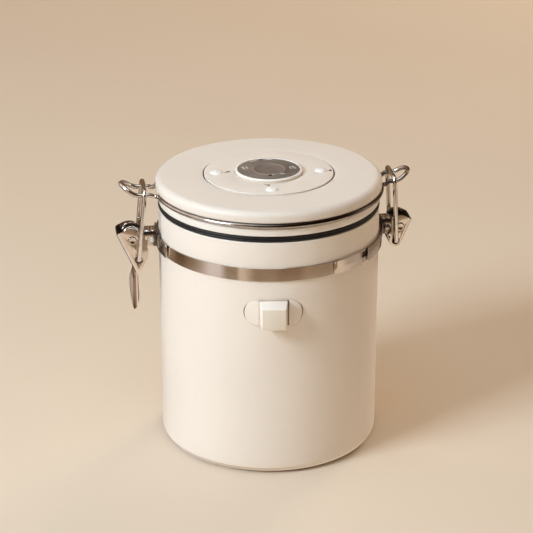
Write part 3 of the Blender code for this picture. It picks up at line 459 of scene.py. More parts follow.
def moulded(name, colour, grain_size=0.35, gloss=0.42, is_hook_plate=False):
    """Injection-moulded plastic with a fine spark grain and faint flow marks.

    The hook's plate has painted shade in the gap round the root of its block.
    """
    recipe = Recipe(name, ior=1.46, metallic=0.0)
    flow = recipe.noise(16.0, 2.0, 0.5, (1.0, 0.4, 1.0))
    grain = recipe.noise(grain_size, 2.0, 0.6)
    dust = recipe.specks(3.1, 0.04, 0.31)
    base = recipe.mix(flow.above(0.5, 0.4), toned(0.97, colour), colour)
    if is_hook_plate:
        # Painted shade in the gap round the block's root, widened on its right side as a painted shadow.
        along = recipe.turn_from_hook() * ((can_radius + 1.0) * mm)
        beside = along.maths("ABSOLUTE") - 7.4 * mm
        over = (recipe.z - hook_level * mm).maths("ABSOLUTE") - 6.7 * mm
        from_root = beside.maths("MAXIMUM", over)
        shaded_side = along.above(7.3 * mm, 0.2 * mm)
        root_gap_shade = from_root.below(0.3 * mm, 0.2 * mm) * 0.6 * (1.0 - shaded_side)
        root_gap_shade = root_gap_shade + from_root.below(0.85 * mm, 0.3 * mm) * 0.85 * shaded_side
        gap_shade_colour = recipe.mix(shaded_side, shade(158, 116, 78), shade(74, 50, 35))
        base = recipe.mix(root_gap_shade, base, gap_shade_colour)
    return recipe.feed(
        base_color=recipe.mix(dust * 0.2, base, toned(0.65, colour)),
        roughness=gloss + flow * 0.05 + grain * 0.05,
        normal=recipe.bump(grain, 0.012, 0.5),
    )


def plug_moulding(name, colour):
    """The lid's plug: moulded plastic with the ring wire's shadow painted into its groove."""
    recipe = Recipe(name, ior=1.46, metallic=0.0)
    flow = recipe.noise(14.0, 2.0, 0.5, (1.0, 1.0, 0.4))
    grain = recipe.noise(0.4, 2.0, 0.6)
    dust = recipe.noise(2.2, 3.0, 0.65)
    radius = recipe.from_axis()
    # The ring wire's shadow is painted into the groove, darker on the hinge side and mottled by noise.
    groove = recipe.z.above(142.55 * mm, 0.15 * mm) * radius.above(58.5 * mm, 0.4 * mm)
    hinge_side = recipe.x.above(-24.0 * mm, 46.0 * mm)
    base = recipe.mix(flow.above(0.5, 0.4), toned(0.97, colour), colour)
    groove_shade = groove * (0.22 + hinge_side * 0.16) * (0.75 + dust * 0.4)
    return recipe.feed(
        base_color=recipe.mix(groove_shade, base, shade(76, 56, 42)),
        roughness=0.3 + grain * 0.08 + groove_shade * 0.2,
        normal=recipe.bump(grain, 0.012, 0.5),
    )


def rim_moulding(name):
    """The disc's rim: glossy white above, and the dial's cream on its wall."""
    recipe = Recipe(name, ior=1.48, metallic=0.0)
    grain = recipe.noise(0.3, 2.0, 0.6)
    scuffs = recipe.noise(1.3, 3.0, 0.7).above(0.62, 0.1)
    lip = recipe.z.above(153.75 * mm, 0.3 * mm)
    base = recipe.mix(lip, shade(234, 223, 208), shade(252, 250, 246))
    return recipe.feed(
        base_color=recipe.mix(scuffs * 0.08, base, shade(176, 160, 142)),
        roughness=0.42 - lip * 0.2 + grain * 0.05,
        normal=recipe.bump(grain, 0.01, 0.5),
    )


def knob_moulding(name, colour):
    """The scoop block: its front face is rougher, and painted darker as shade."""
    recipe = Recipe(name, ior=1.46, metallic=0.0)
    flow = recipe.noise(12.0, 2.0, 0.5, (1.0, 0.4, 1.0))
    grain = recipe.noise(0.35, 2.0, 0.6)
    front_mottle = recipe.noise(2.4, 3.0, 0.65, (1.0, 1.0, 0.3))
    # Painted shade: the front face is mixed darker, mottled by noise.
    outwards = recipe.x * sin(radians(hook_turn)) - recipe.y * cos(radians(hook_turn))
    face = outwards.above((block_front - 0.3) * mm, 0.3 * mm)
    base = recipe.mix(flow.above(0.5, 0.4), toned(0.97, colour), colour)
    used = tuple(share * part for share, part in zip((0.86, 0.83, 0.76), colour))
    rubbed = recipe.mix(face * (0.75 + front_mottle * 0.3), base, used)
    return recipe.feed(
        base_color=rubbed,
        roughness=0.36 + grain * 0.05 + face * 0.16,
        normal=recipe.bump(grain, 0.012, 0.5),
    )


def silicone(name):
    """Black silicone with a dull bloom and some lint on it."""
    recipe = Recipe(name, ior=1.42, metallic=0.0)
    bloom = recipe.noise(7.0, 3.0, 0.6)
    lint = recipe.specks(1.9, 0.05, 0.17)
    grain = recipe.noise(0.4, 2.0)
    base = recipe.mix(bloom.above(0.55, 0.3), shade(17, 16, 16), shade(29, 27, 26))
    return recipe.feed(
        base_color=recipe.mix(lint * 0.3, base, shade(110, 102, 93)),
        roughness=0.36 + bloom * 0.18,
        normal=recipe.bump(grain, 0.02, 0.5),
    )


def bright_wire(name, in_groove=False, light=(226, 221, 215), dark=(204, 198, 191)):
    """Polished drawn wire: dark and light draw lines and a few rub marks.

    The ring wire is painted dark as shade and reflection in the lid's groove, most of
    all on the hinge side, and on the hinge's ear where it leaves the lid.
    """
    recipe = Recipe(name, metallic=1.0)
    tone = recipe.noise(5.0, 2.0)
    scratches = recipe.noise(0.5, 3.0, 0.7, (1.0, 1.0, 0.25))
    rubbed = recipe.noise(3.0, 3.0, 0.6).above(0.62, 0.1)
    drawn = recipe.mix(tone.above(0.5, 0.4), shade(*dark), shade(*light))
    if not in_groove:
        return recipe.feed(
            base_color=drawn,
            roughness=0.05 + scratches * 0.06 + rubbed * 0.08,
            normal=recipe.bump(scratches, 0.006, 0.5),
        )
    # Painted shade and dark reflection on the wire in the groove and on the hinge's ear.
    radius = recipe.from_axis()
    groove = radius.below(62.9 * mm, 0.8 * mm)
    fading = 1.0 - recipe.x.above(42.0 * mm, 20.0 * mm) * 0.45
    hinge_side = recipe.x.above(-16.0 * mm, 36.0 * mm) * fading
    upper = recipe.z.above((ring_level - 0.15) * mm, 0.5 * mm)
    wire_shade = groove * (0.3 + hinge_side * (0.08 + upper * 0.62))
    beside_lid = recipe.x.below(67.2 * mm, 1.6 * mm)
    on_ear = (1.0 - groove) * recipe.x.above(0.0, 10.0 * mm)
    wire_shade = wire_shade + on_ear * (0.25 + beside_lid * 0.55)
    return recipe.feed(
        base_color=recipe.mix(wire_shade, drawn, shade(58, 44, 34)),
        roughness=0.07 + scratches * 0.05 + groove * 0.06,
        normal=recipe.bump(scratches, 0.004, 0.3),
    )


def pressed_sheet(name, along, light, dark, gloss, fold=None, eye=None, strap_shade=None):
    """Pressed steel sheet with rolling lines, slight dents and rubbed spots.

    A folded sheet has painted shade between its cheeks, and is rougher there. Its
    fold is given as two (x, z) places on the outer edge, and its eye is the (x, z)
    place of the hole for a wire's foot, ringed with painted shade. Below handle_top
    the lever's handle is rubbed satin by the thumb, with a painted brown reflection
    along its hollow and painted shade at its rim. A bracket has painted shade and
    dark reflection on its web, bends and root: strap_shade says how dark the painted
    shade on its strap is beside them.
    """
    recipe = Recipe(name, metallic=1.0)
    lines = recipe.noise(0.45, 3.0, 0.65, along)
    cloud = recipe.noise(9.0, 2.0, 0.5)
    dents = recipe.noise(3.2, 1.0)
    marks = recipe.noise(0.9, 3.0, 0.7).above(0.68, 0.08)
    base = recipe.mix(cloud.above(0.5, 0.6), dark, light)
    worn = recipe.mix(marks * 0.3, base, toned(0.75, dark))
    roughness = gloss + lines * 0.08 + marks * 0.1
    normal = recipe.bump(dents, 0.012, 0.2, recipe.bump(lines, 0.005, 0.45))
    if strap_shade is not None:
        # Painted shade and dark reflection on the bracket's strap, web, bends and root.
        radius = recipe.from_axis()
        across = recipe.y.maths("ABSOLUTE")
        on_strap = radius.below(62.2 * mm, 0.4 * mm) * across.below(19.0 * mm, 3.0 * mm)
        on_web = recipe.z.above((web_top - 0.2) * mm, 0.3 * mm) * radius.above(61.6 * mm, 0.3 * mm)
        at_bend = on_web * across.above(4.3 * mm, 0.5 * mm)
        at_root = radius.below(64.0 * mm, 1.0 * mm) * across.near(6.2 * mm, 3.4 * mm)
        bracket_shade = (on_strap * strap_shade + on_web * 0.45 + at_bend * 0.6).maths("MAXIMUM", at_root * 0.8)
        if strap_shade > 0.6:
            bracket_shade = bracket_shade.maths("MAXIMUM", across.above(5.2 * mm, 0.3 * mm) * 0.4)
        bracket_shade = bracket_shade.maths("MINIMUM", 0.95)
        return recipe.feed(
            base_color=recipe.mix(bracket_shade, worn, shade(46, 35, 28)),
            roughness=roughness + bracket_shade * 0.2,
            normal=normal,
        )
    if not fold:
        return recipe.feed(base_color=worn, roughness=roughness, normal=normal)
    start, end = Vector(fold[0]), Vector(fold[1])
    along_fold = (end - start).normalized()
    inward = Vector((along_fold.y, -along_fold.x)) * (1 if start.x > 0 else -1)
    depth = recipe.x * inward.x + recipe.z * inward.y - start.dot(inward) * mm
    # Painted shade between the cheeks.
    inner_shade = recipe.y.maths("ABSOLUTE").below(6.5 * mm, 0.3 * mm) * depth.above(0.4 * mm, 0.2 * mm)
    inner_shade = inner_shade * (1.0 - depth.above(2.7 * mm, 0.9 * mm) * 0.95)
    handle = recipe.z.below(handle_top * mm, 4.0 * mm)
    thumbed = handle * recipe.x.below(-75.2 * mm, 0.6 * mm)
    hollow = handle * recipe.x.below(-73.45 * mm, 0.4 * mm) * (1.0 - thumbed)
    rim = handle * recipe.x.above(-72.65 * mm, 0.3 * mm)
    # Painted shade rings the eye and runs along the handle's rim; the hollow gets a painted brown
    # reflection.
    aside, above = recipe.x - eye[0] * mm, recipe.z - eye[1] * mm
    from_eye = (aside * aside + above * above) ** 0.5
    shade_marks = (inner_shade * 0.85).maths("MAXIMUM", from_eye.below(2.2 * mm, 0.3 * mm) * 0.95)
    shade_marks = shade_marks.maths("MAXIMUM", rim * 0.8)
    shade_painted = recipe.mix(shade_marks, worn, shade(60, 48, 39))
    return recipe.feed(
        base_color=recipe.mix(hollow, shade_painted, shade(149, 124, 104)),
        roughness=roughness + inner_shade * 0.15 + thumbed * 0.32,
        normal=normal,
    )


def dial_plate(name):
    """Dark spun disc: turning lines, and a painted highlight on a bead round its middle."""
    recipe = Recipe(name, metallic=0.8)
    radius = recipe.from_axis()
    turning = {"W": radius, "Scale": 3800.0, "Detail": 3.0}
    rings = recipe.node("ShaderNodeTexNoise", {"noise_dimensions": "1D"}, turning)[0]
    cloud = recipe.noise(7.0, 3.0)
    marks = recipe.noise(0.8, 2.0, 0.7).above(0.64, 0.1)
    # Painted highlight on the bead, brightest along one diagonal.
    slant = (recipe.x + recipe.y) / (radius * sqrt(2.0) + 0.001 * mm)
    bead_highlight = radius.near(8.6 * mm, 0.7 * mm) * (0.3 + slant * slant * 0.7)
    grit = recipe.noise(0.6, 3.0, 0.7)
    field = recipe.mix(cloud.above(0.5, 0.4), shade(182, 177, 172), shade(202, 197, 191))
    gritty = recipe.mix(grit.above(0.5, 0.4) * 0.5, field, shade(120, 112, 105))
    worn = recipe.mix(marks * 0.45, gritty, shade(226, 221, 214))
    return recipe.feed(
        base_color=recipe.mix(bead_highlight, worn, shade(250, 246, 240)),
        roughness=0.36 + rings * 0.14 - bead_highlight * 0.12,
        normal=recipe.bump(rings, 0.01, 0.6),
    )


cream_coat = powder_coat("cream_coat", shade(240, 231, 219), is_can=True)
lid_coat = powder_coat("lid_coat", shade(239, 230, 218))
cream_moulding = moulded("cream_moulding", shade(240, 231, 219))
# The block gets a whiter cream than the plate, a painted highlight on its top.
block_moulding = knob_moulding("block_moulding", shade(249, 242, 232))
hook_moulding = moulded("hook_moulding", shade(240, 231, 219), is_hook_plate=True)
white_moulding = moulded("white_moulding", shade(240, 234, 224), 0.5, 0.38)
groove_moulding = plug_moulding("groove_moulding", shade(244, 239, 230))
seal_silicone = silicone("seal_silicone")
wire_steel = bright_wire("wire_steel")
groove_wire = bright_wire("groove_wire", in_groove=True)
cool_wire = bright_wire("cool_wire", light=(228, 226, 224), dark=(206, 203, 200))
band_steel = pressed_sheet(
    "band_steel", (0.04, 0.04, 1.0), shade(206, 198, 189), shade(194, 186, 177), 0.07,
)
clamp_sheet = (0.2, 1.0, 0.12), shade(220, 213, 205), shade(208, 201, 193), 0.12
latch_steel = pressed_sheet("latch_steel", *clamp_sheet, strap_shade=0.45)
anchor_steel = pressed_sheet("anchor_steel", *clamp_sheet, strap_shade=0.9)
lever_steel = pressed_sheet(
    "lever_steel", *clamp_sheet, fold=((-83.74, 123.15), (-73.04, 99.2)), eye=latch_eye,
)
hinge_steel = pressed_sheet(
    "hinge_steel", *clamp_sheet, fold=((78.5, 123.3), (72.76, 109.88)), eye=hinge_eye,
)
disc_steel = dial_plate("disc_steel")
mark_ink = moulded("mark_ink", shade(92, 72, 56), 0.2, 0.5)
pale_ink = moulded("pale_ink", shade(240, 236, 230), 0.2, 0.4)
dot_ink = moulded("dot_ink", shade(30, 26, 23), 0.2, 0.5)
# The dial's nubs get a whiter copy of its cream, as a painted highlight.
highlight_white = moulded("highlight_white", shade(250, 247, 242), 0.3, 0.2)
rim_white = rim_moulding("rim_white")
# Painted highlight: the latch's cross rivet gets a white non-metal finish in place of steel.
rivet_highlight_white = moulded("rivet_highlight_white", shade(255, 253, 250), 0.25, 0.12)
# Dark finish for the sheet behind the band's slot: painted shade.
slot_shade = moulded("slot_shade", shade(58, 45, 36), 0.3, 0.5)


# Can

can = lathe("can_shell", [
    (0.0, 0.0), (49.7, 0.0), (50.0, 0.25), (50.6, 0.25), (50.9, 0.0),
    *arc(can_radius - foot_round, foot_round, foot_round, -90.0, 0.0, 12),
    *[(can_radius, 12.0 + 8.0 * step) for step in range(15)],
    *arc(can_radius - rim_round, can_height - rim_round, rim_round, 0.0, 90.0, 5),
    *arc(58.0, can_height - rim_round, rim_round, 90.0, 180.0, 5),
    (57.4, 133.2), *arc(58.3, 132.6, 0.9, 200.0, 270.0, 4), (can_radius - can_wall, 131.4),
    *[(can_radius - can_wall, 126.0 - 12.0 * step) for step in range(10)],
    *arc(can_radius - foot_round, foot_round, foot_round - can_wall, 0.0, -90.0, 10), (0.0, can_wall),
], 192)
put(can, "canister", "body_paint", cream_coat, "canister_body")


# Clamp band with its slot and folded end


def tail_outline(length, corner=1.6):
    """Band tail with a rounded free end; its other end meets the slot."""
    outline = arc(corner, band_low + corner, corner, 180.0, 270.0, 5)
    outline += [(length, band_low), (length, band_high)]
    return outline + arc(corner, band_high - corner, corner, 90.0, 180.0, 5)


strip = lathe("band_strip", [
    (60.3, band_low + 0.15), (60.45, band_low), (60.75, band_low), (band_outer, band_low + 0.15),
    (band_outer, 116.5), (band_outer, 118.5), (band_outer, band_high - 0.15),
    (60.75, band_high), (60.45, band_high), (60.3, band_high - 0.15),
], 192)
slot_outline = [(0.0, 116.7), (5.4, 116.7), (5.4, 120.0), (0.0, 120.0)]
cut(strip, wrap(plate("slot_tool", slot_outline, 3.0, 3), 59.5, slot_turn - 0.1))
smooth(strip)

tail_turn, tail_radius = 25.4, 61.0
tail_length = radians(slot_turn - tail_turn) * tail_radius
tail = soften(plate("band_tail", tail_outline(tail_length), 0.65, 9), 0.12)
wrap(tail, tail_radius, tail_turn)

fold_radius = 62.0 * 0.983
fold = tube("band_fold", [
    (fold_radius * sin(radians(slot_turn)), -fold_radius * cos(radians(slot_turn)), height)
    for height in (116.8, 118.4, 120.0)
], 0.5)
put(join("clamp_strip", strip, tail, fold), "canister", "band_steel", band_steel, "clamp_band")

# A dark sheet behind the band's slot is painted shade in the slot, not a real part.
shade_plate_outline = [(0.0, 116.3), (6.2, 116.3), (6.2, 120.4), (0.0, 120.4)]
shade_plate = wrap(plate("slot_shade_plate", shade_plate_outline, 0.15, 3), 60.08, 44.6)
put(shade_plate, "canister", "band_steel", slot_shade)


# Clamp sheet parts keep the frame's shape, with rounded and polished edges

for node, body, edge, finish in (
    ("latch_bracket", "canister", 0.12, latch_steel),
    ("hinge_bracket", "canister", 0.12, anchor_steel),
    ("hinge_plates", "canister", 0.14, hinge_steel),
    ("latch_lever", "lever", 0.14, lever_steel),
):
    put(reworked(node, edge), body, "polished_steel", finish, node)


dimples = []
for index, out in enumerate((63.3, 66.3, -63.6, -66.6)):
    dimple = lathe(f"dimple_{index + 1}", [
        (0.0, web_top), (1.3, web_top), (1.3, 123.2), (1.12, 123.5),
        (0.85, 123.5), (0.55, 123.26), (0.0, 123.22),
    ], 32)
    dimple.scale = (1.0, 2.5, 1.0)
    dimple.location = (out * mm, 0.0, 0.0)
    only(dimple)
    bpy.ops.object.transform_apply()
    dimples.append(dimple)
put(join("web_dimples", *dimples), "canister", "polished_steel", wire_steel)


def riveted(name, radius, shaft, seat, height, dish=0.0):
    """Rivet along Y: a shaft and two heads, dished or domed."""
    if dish:
        head = [(0.0, seat + height - dish), (radius * 0.45, seat + height - dish),
                (radius * 0.62, seat + height - dish * 0.2), (radius * 0.72, seat + height)]
        head += arc(radius - 0.25, seat + height - 0.25, 0.25, 90.0, 0.0, 3)
        head += [(radius, seat)]
    else:
        head = [(radius * sin(angle), seat + height * cos(angle))
                for angle in (radians(9.0 * step) for step in range(11))]
        head[0] = (0.0, seat + height)
    half = head + [(shaft, seat)]
    return lathe(name, half + [(across, -up) for across, up in reversed(half)], 40)


for name, node, out, level in (
    ("latch_rivet", "latch_pin", latch_pin_out, latch_pin_level),
    ("hinge_rivet", "hinge_pin", hinge_pin_out, hinge_pin_level),
):
    pin = riveted(name, pin_radius, pin_shaft, pin_seat, 0.45, 0.28)
    put(lay_along_y(pin, out, level), "canister", "polished_steel", wire_steel, node)
# The latch's cross rivet is painted white as a painted highlight.
for name, node, out, finish in (
    ("latch_cross_rivet", "latch_anchor_rivet", -65.0, rivet_highlight_white),
    ("hinge_cross_rivet", "hinge_anchor_rivet", 64.7, anchor_steel),
):
    rivet = lay_along_y(riveted(name, 1.75, 1.0, 6.2, 0.7), out, anchor_level)
    put(rivet, "canister", "polished_steel", finish, node)


# Wires: the lid's ring with its ears, both links and the latch spring


def eased(value, low, high):
    """Smooth step between two levels."""
    share = min(max((value - low) / (high - low), 0.0), 1.0)
    return share * share * (3 - 2 * share)


def rounded_corner(corner, before, after, radius, steps=8):
    """Points that round one corner of a wire."""
    corner, before, after = Vector(corner), Vector(before), Vector(after)
    before = (before - corner).normalized()
    after = (after - corner).normalized()
    half = before.angle(after) / 2
    centre = corner + (before + after).normalized() * (radius / sin(half))
    first = (corner + before * (radius / tan(half)) - centre).normalized()
    last = (corner + after * (radius / tan(half)) - centre).normalized()
    return [tuple(centre + first.slerp(last, step / steps) * radius) for step in range(steps + 1)]


ear_half, ear_bend = 7.0, 2.5
ear_foot = sqrt(ring_radius ** 2 - ear_half ** 2)


def ear(side, flat_level, bend, tip, lift):
    """One ear of the ring wire, from its front corner to its back corner."""
    turn = tip - ear_half

    def level(out):
        rise = max(out - bend, 0.0) / (tip - bend)
        slope = (flat_level - ring_level) * eased(out, 62.4, 65.6)
        return ring_level + slope + lift * rise * rise * (2 - rise)

    start = ear_foot + ear_bend
    outs = [start + (turn - ear_foot - ear_bend) * step / 12 for step in range(13)]
    run = [(out, -ear_half) for out in outs]
    run += arc(turn, 0.0, ear_half, -90.0, 90.0, 24)[1:-1]
    run += [(out, ear_half) for out in reversed(outs)]
    return [(side * out, side * across, level(out)) for out, across in run]


def easing_in(start, end, before, steps=6):
    """Bend between the ring and an ear."""
    start, end, before = Vector(start), Vector(end), Vector(before)
    handle = start + (start - before).normalized() * ((end - start).length / 2)
    points = []
    for step in range(1, steps):
        share = step / steps
        points.append(tuple(start.lerp(handle, share).lerp(handle.lerp(end, share), share)))
    return points


def ring_path():
    """Closed path of the ring wire with both ears."""
    margin = atan2(ear_half, ear_foot) + ear_bend / ring_radius
    angles = [margin + (pi - 2 * margin) * step / 72 for step in range(73)]
    back = [(ring_radius * cos(a), ring_radius * sin(a), ring_level) for a in angles]
    front = [(-x, -y, z) for x, y, z in back]
    latch_ear = ear(-1, 145.2, 71.0, 80.0, 4.8)
    hinge_ear = ear(1, 146.3, 68.3, 76.4, 4.2)
    path = []
    for side, loop, other in ((back, latch_ear, front), (front, hinge_ear, back)):
        path += side + easing_in(side[-1], loop[0], side[-2])
        path += loop + easing_in(loop[-1], other[0], loop[-2])
    return path


def link_path(eye, bar):
    """Open path of a wire link, foot, leg, bar, leg, foot, from two (x, z) places."""
    foot, wide, end = 9.0, 10.3, 5.0
    foot_bend, bar_bend = 1.6, 3.0
    corners = [
        (eye[0], -end, eye[1]), (eye[0], -foot, eye[1]), (bar[0], -wide, bar[1]),
        (bar[0], wide, bar[1]), (eye[0], foot, eye[1]), (eye[0], end, eye[1]),
    ]
    path = [corners[0]]
    for index, radius in ((1, foot_bend), (2, bar_bend), (3, bar_bend), (4, foot_bend)):
        path += rounded_corner(corners[index], corners[index - 1], corners[index + 1], radius)
    return path + [corners[-1]]


ring = tube("ring_wire", ring_path(), wire_radius, True)
put(ring, "lid", "polished_steel", groove_wire, "lid_wire")
latch_link = tube("latch_wire_link", link_path(latch_eye, latch_bar), wire_radius)
put(latch_link, "latch_wire", "polished_steel", wire_steel, "latch_link")
hinge_link = tube("hinge_wire_link", link_path(hinge_eye, hinge_bar), wire_radius)
put(hinge_link, "hinge_wire", "polished_steel", cool_wire, "hinge_link")


def spring_path():
    """Coil of four turns round the latch pin, with a leg at each end.

    The short leg runs along the lever's web, whose line is given from the pin.
    """
    web_top_end, web_low_end = Vector((8.7, 3.55)), Vector((-2.0, -20.4))
    along = (web_low_end - web_top_end).normalized()
    facing = atan2(along.x, -along.y)
    start, end = radians(-80.0), pi - facing - 8 * pi
    count, coil_radius, coil_length, leg_length = 132, 4.2, 8.0, 2.0
    points = [(10.04, -2.5, -coil_length / 2)]
    for step in range(count + 1):
        angle = start + (end - start) * step / count
        across, up = coil_radius * cos(angle), coil_radius * sin(angle)
        points.append((across, up, coil_length * step / count - coil_length / 2))
    leg = Vector((sin(end), -cos(end), 0.0)) * leg_length
    points.append(tuple(Vector(points[-1]) + leg))
    return [(across + latch_pin_out, middle, up + latch_pin_level) for across, up, middle in points]


put(tube("latch_coil", spring_path(), 0.7), "canister", "polished_steel", wire_steel, "latch_spring")


# Scoop hook

stadium = []
for side, level, start in ((-1, 95.75, 180.0), (1, 95.75, -90.0), (1, 96.05, 0.0), (-1, 96.05, 90.0)):
    stadium += arc(side * plate_straight, level, plate_round, start, start + 90.0, 10)
hook_plate = plate("hook_oval", stadium, 0.7, 24)
soften(hook_plate, 0.3, 3)
wrap(hook_plate, 60.3, hook_turn)
put(hook_plate, "canister", "cream_plastic", hook_moulding, "hook_plate")

only()
bpy.ops.mesh.primitive_cube_add(size=mm)
hook_block = bpy.context.object
hook_block.name = hook_block.data.name = "hook_knob"
for vertex in hook_block.data.vertices:
    front = vertex.co.y < 0
    wide, tall = (12.5, 11.6) if front else (14.8, 13.4)
    vertex.co.x *= wide
    vertex.co.y = -block_front * mm if front else -60.8 * mm
    vertex.co.z = vertex.co.z * tall + hook_level * mm
soften(hook_block, 0.45, 3)
hook_block.rotation_euler = (0, 0, radians(hook_turn))
only(hook_block)
bpy.ops.object.transform_apply()
put(smooth(hook_block), "canister", "cream_plastic", block_moulding, "hook_block")


# Lid

lid_plug = lathe("lid_plug", [
    (12.0, 127.0), *arc(54.3, 129.0, 2.0, -90.0, 0.0, 6), (56.3, 135.2), (56.3, 138.3),
    *arc(59.4, 138.9, 0.6, -90.0, 0.0, 5), *arc(59.4, 142.0, 0.6, 0.0, 90.0, 5),
    (59.3, 142.6), (59.3, 148.2), (57.85, 148.2), (57.85, 144.2), (54.7, 141.0),
    (54.7, 129.4), (53.9, 128.6), (12.0, 128.6),
], 192)
put(lid_plug, "lid", "white_plastic", groove_moulding, "lid_base")

seal = lathe("seal_ring", [
    (56.6, 135.3), *arc(59.42, 135.98, 0.68, -90.0, 62.0, 8), (59.45, 136.65),
    *arc(59.42, 137.32, 0.68, -62.0, 90.0, 8), (56.6, 138.0),
], 192)
put(seal, "lid", "seal_rubber", seal_silicone, "lid_gasket")

cap = lathe("lid_cap", [
    (59.9, 146.1), *arc(61.0, 146.4, 0.3, -90.0, 0.0, 3), (61.3, 147.4),
    *arc(57.8, cover_top - cover_round, cover_round, 0.0, 90.0, 12),
    (50.0, cover_top), (42.0, cover_top),
    *arc(35.9, 151.6, 0.4, 90.0, 180.0, 4), (35.5, 150.9), (22.0, 150.9), (10.2, 150.9),
    (10.2, 149.5), (36.9, 149.5), (36.9, 150.6), (57.8, 150.6), (59.9, 148.5),
], 192)
put(cap, "lid", "lid_paint", lid_coat, "lid_cover")

dial = lathe("date_ring", [
    (18.5, 151.2), (dial_radius, 151.2), *arc(dial_radius - 0.4, dial_top - 0.4, 0.4, 0.0, 90.0, 5),
    *arc(18.8, dial_top - 0.3, 0.3, 90.0, 180.0, 4),
], 160)
put(dial, "dial", "cream_plastic", cream_moulding, "dial_ring")

nubs = []
nub_radius, nub_height, nub_sink, nub_orbit = 3.3, 1.4, 0.4, 28.3
for index in range(3):
    angle = radians(-5.0 - 90.0 * index)
    bows = [radians(7.5 * step) for step in range(12)]
    dome = [(nub_radius * cos(bow), nub_height * sin(bow)) for bow in bows]
    outline = [(0.0, -nub_sink), (nub_radius, -nub_sink), *dome, (0.0, nub_height)]
    nub = lathe(f"nub_{index + 1}", outline, 48)
    nub.location = (nub_orbit * mm * cos(angle), nub_orbit * mm * sin(angle), dial_top * mm)
    only(nub)
    bpy.ops.object.transform_apply()
    nubs.append(nub)
put(join("dial_nubs", *nubs), "dial", "cream_plastic", highlight_white)


def flat_mark(name, outline, x, y, turn, level):
    """Thin printed mark that lies on the lid, turned to its place."""
    piece = plate(name, outline, 0.06)
    piece.rotation_euler = (-pi / 2, 0, 0)
    only(piece)
    bpy.ops.object.transform_apply()
    piece.rotation_euler = (0, 0, radians(turn))
    piece.location = (x * mm, y * mm, level * mm)
    only(piece)
    bpy.ops.object.transform_apply()
    return piece


def wedge(name, x, y, turn, length, width):
    """Pointer on the dial, with a blunt tip."""
    across, up, tip = length / 2, width / 2, 0.12
    outline = [(-across, -up), (across, -tip), (across, tip), (-across, up)]
    return flat_mark(name, outline, x, y, turn, dial_mark_level)


def stroke(name, x, y, turn, length, width):
    """Straight printed stroke on the disc."""
    across, up = length / 2, width / 2
    outline = [(-across, -up), (across, -up), (across, up), (-across, up)]
    return flat_mark(name, outline, x, y, turn, disc_mark_level)


def digit(name, bars, x, y, turn=8.0, size=1.7, width=0.46):
    """Plain digit of straight strokes, each given as (x, y, is upright)."""
    parts = []
    for index, (across, up, upright) in enumerate(bars):
        placed = Vector((across * size / 2, up * size, 0.0))
        placed.rotate(Euler((0, 0, radians(turn))))
        length = size * (1.0 if upright else 0.62)
        angle = turn + (90.0 if upright else 0.0)
        parts.append(stroke(f"{name}_{index}", x + placed.x, y + placed.y, angle, length, width))
    return join(name, *parts)


pointers = [
    wedge("pointer_1", -22.4, 2.6, 215.0, 3.6, 1.9),
    wedge("pointer_2", 33.3, -2.4, 80.0, 2.8, 2.2),
    wedge("pointer_3", -3.9, -20.6, 150.0, 3.2, 1.9),
]
put(join("dial_pointers", *pointers), "dial", "cream_plastic", mark_ink)

three = ((0, 1.0, False), (0, 0, False), (0, -1.0, False), (0.6, 0.5, True), (0.6, -0.5, True))
one = ((0, 0.5, True), (0, -0.5, True))
five = ((0, 1.0, False), (-0.6, 0.5, True), (0, 0, False), (0.6, -0.5, True), (0, -1.0, False))
figures = [
    digit("figure_1", three, -13.6, 3.4), digit("figure_2", one, -11.4, 3.7),
    digit("figure_3", one, 11.8, 0.3), digit("figure_4", five, 13.8, 0.6),
    stroke("dash_1", 2.3, 15.1, 0.0, 3.4, 0.6), stroke("dash_2", -6.6, 13.6, 25.0, 4.2, 0.6),
    stroke("dash_3", 6.0, -8.1, -30.0, 3.0, 0.5), stroke("dash_4", 0.9, -9.6, 10.0, 1.0, 0.7),
]
put(join("date_figures", *figures), "lid", "plate_steel", pale_ink)
dots = [stroke("dot_1", -2.2, 15.4, 0.0, 1.5, 1.5), stroke("dot_2", -0.7, -10.4, 0.0, 1.7, 2.2)]
put(join("date_dots", *dots), "lid", "plate_steel", dot_ink)

bezel = lathe("disc_bezel", [
    (0.0, 151.7), (8.4, 151.7), (8.4, 141.0), (9.9, 141.0), (9.9, 151.2),
    (18.2, 151.2), (18.2, 153.4), *arc(17.4, 153.6, 0.8, 0.0, 90.0, 6),
    (17.2, 154.4), (17.0, 154.3), (17.0, 153.1), (0.0, 153.1),
], 128)
put(bezel, "lid", "cream_plastic", rim_white, "valve_bezel")

disc = lathe("date_disc", [
    (0.0, 153.4), (16.7, 153.4), *arc(16.5, 154.0, 0.2, 0.0, 90.0, 3),
    (8.95, disc_top), (8.75, disc_top + 0.12), (8.45, disc_top + 0.12), (8.25, disc_top), (0.0, disc_top),
], 128)
put(disc, "lid", "plate_steel", disc_steel, "date_plate")

for node in ("valve_body", "valve_filter"):
    put(reworked(node, 0.1), "lid", "white_plastic", white_moulding, node)
put(reworked("valve_flap", 0.15), "flap", "seal_rubber", seal_silicone, "valve_flap")


# Studio: pale floor, soft lamps and cards that only the metal shows


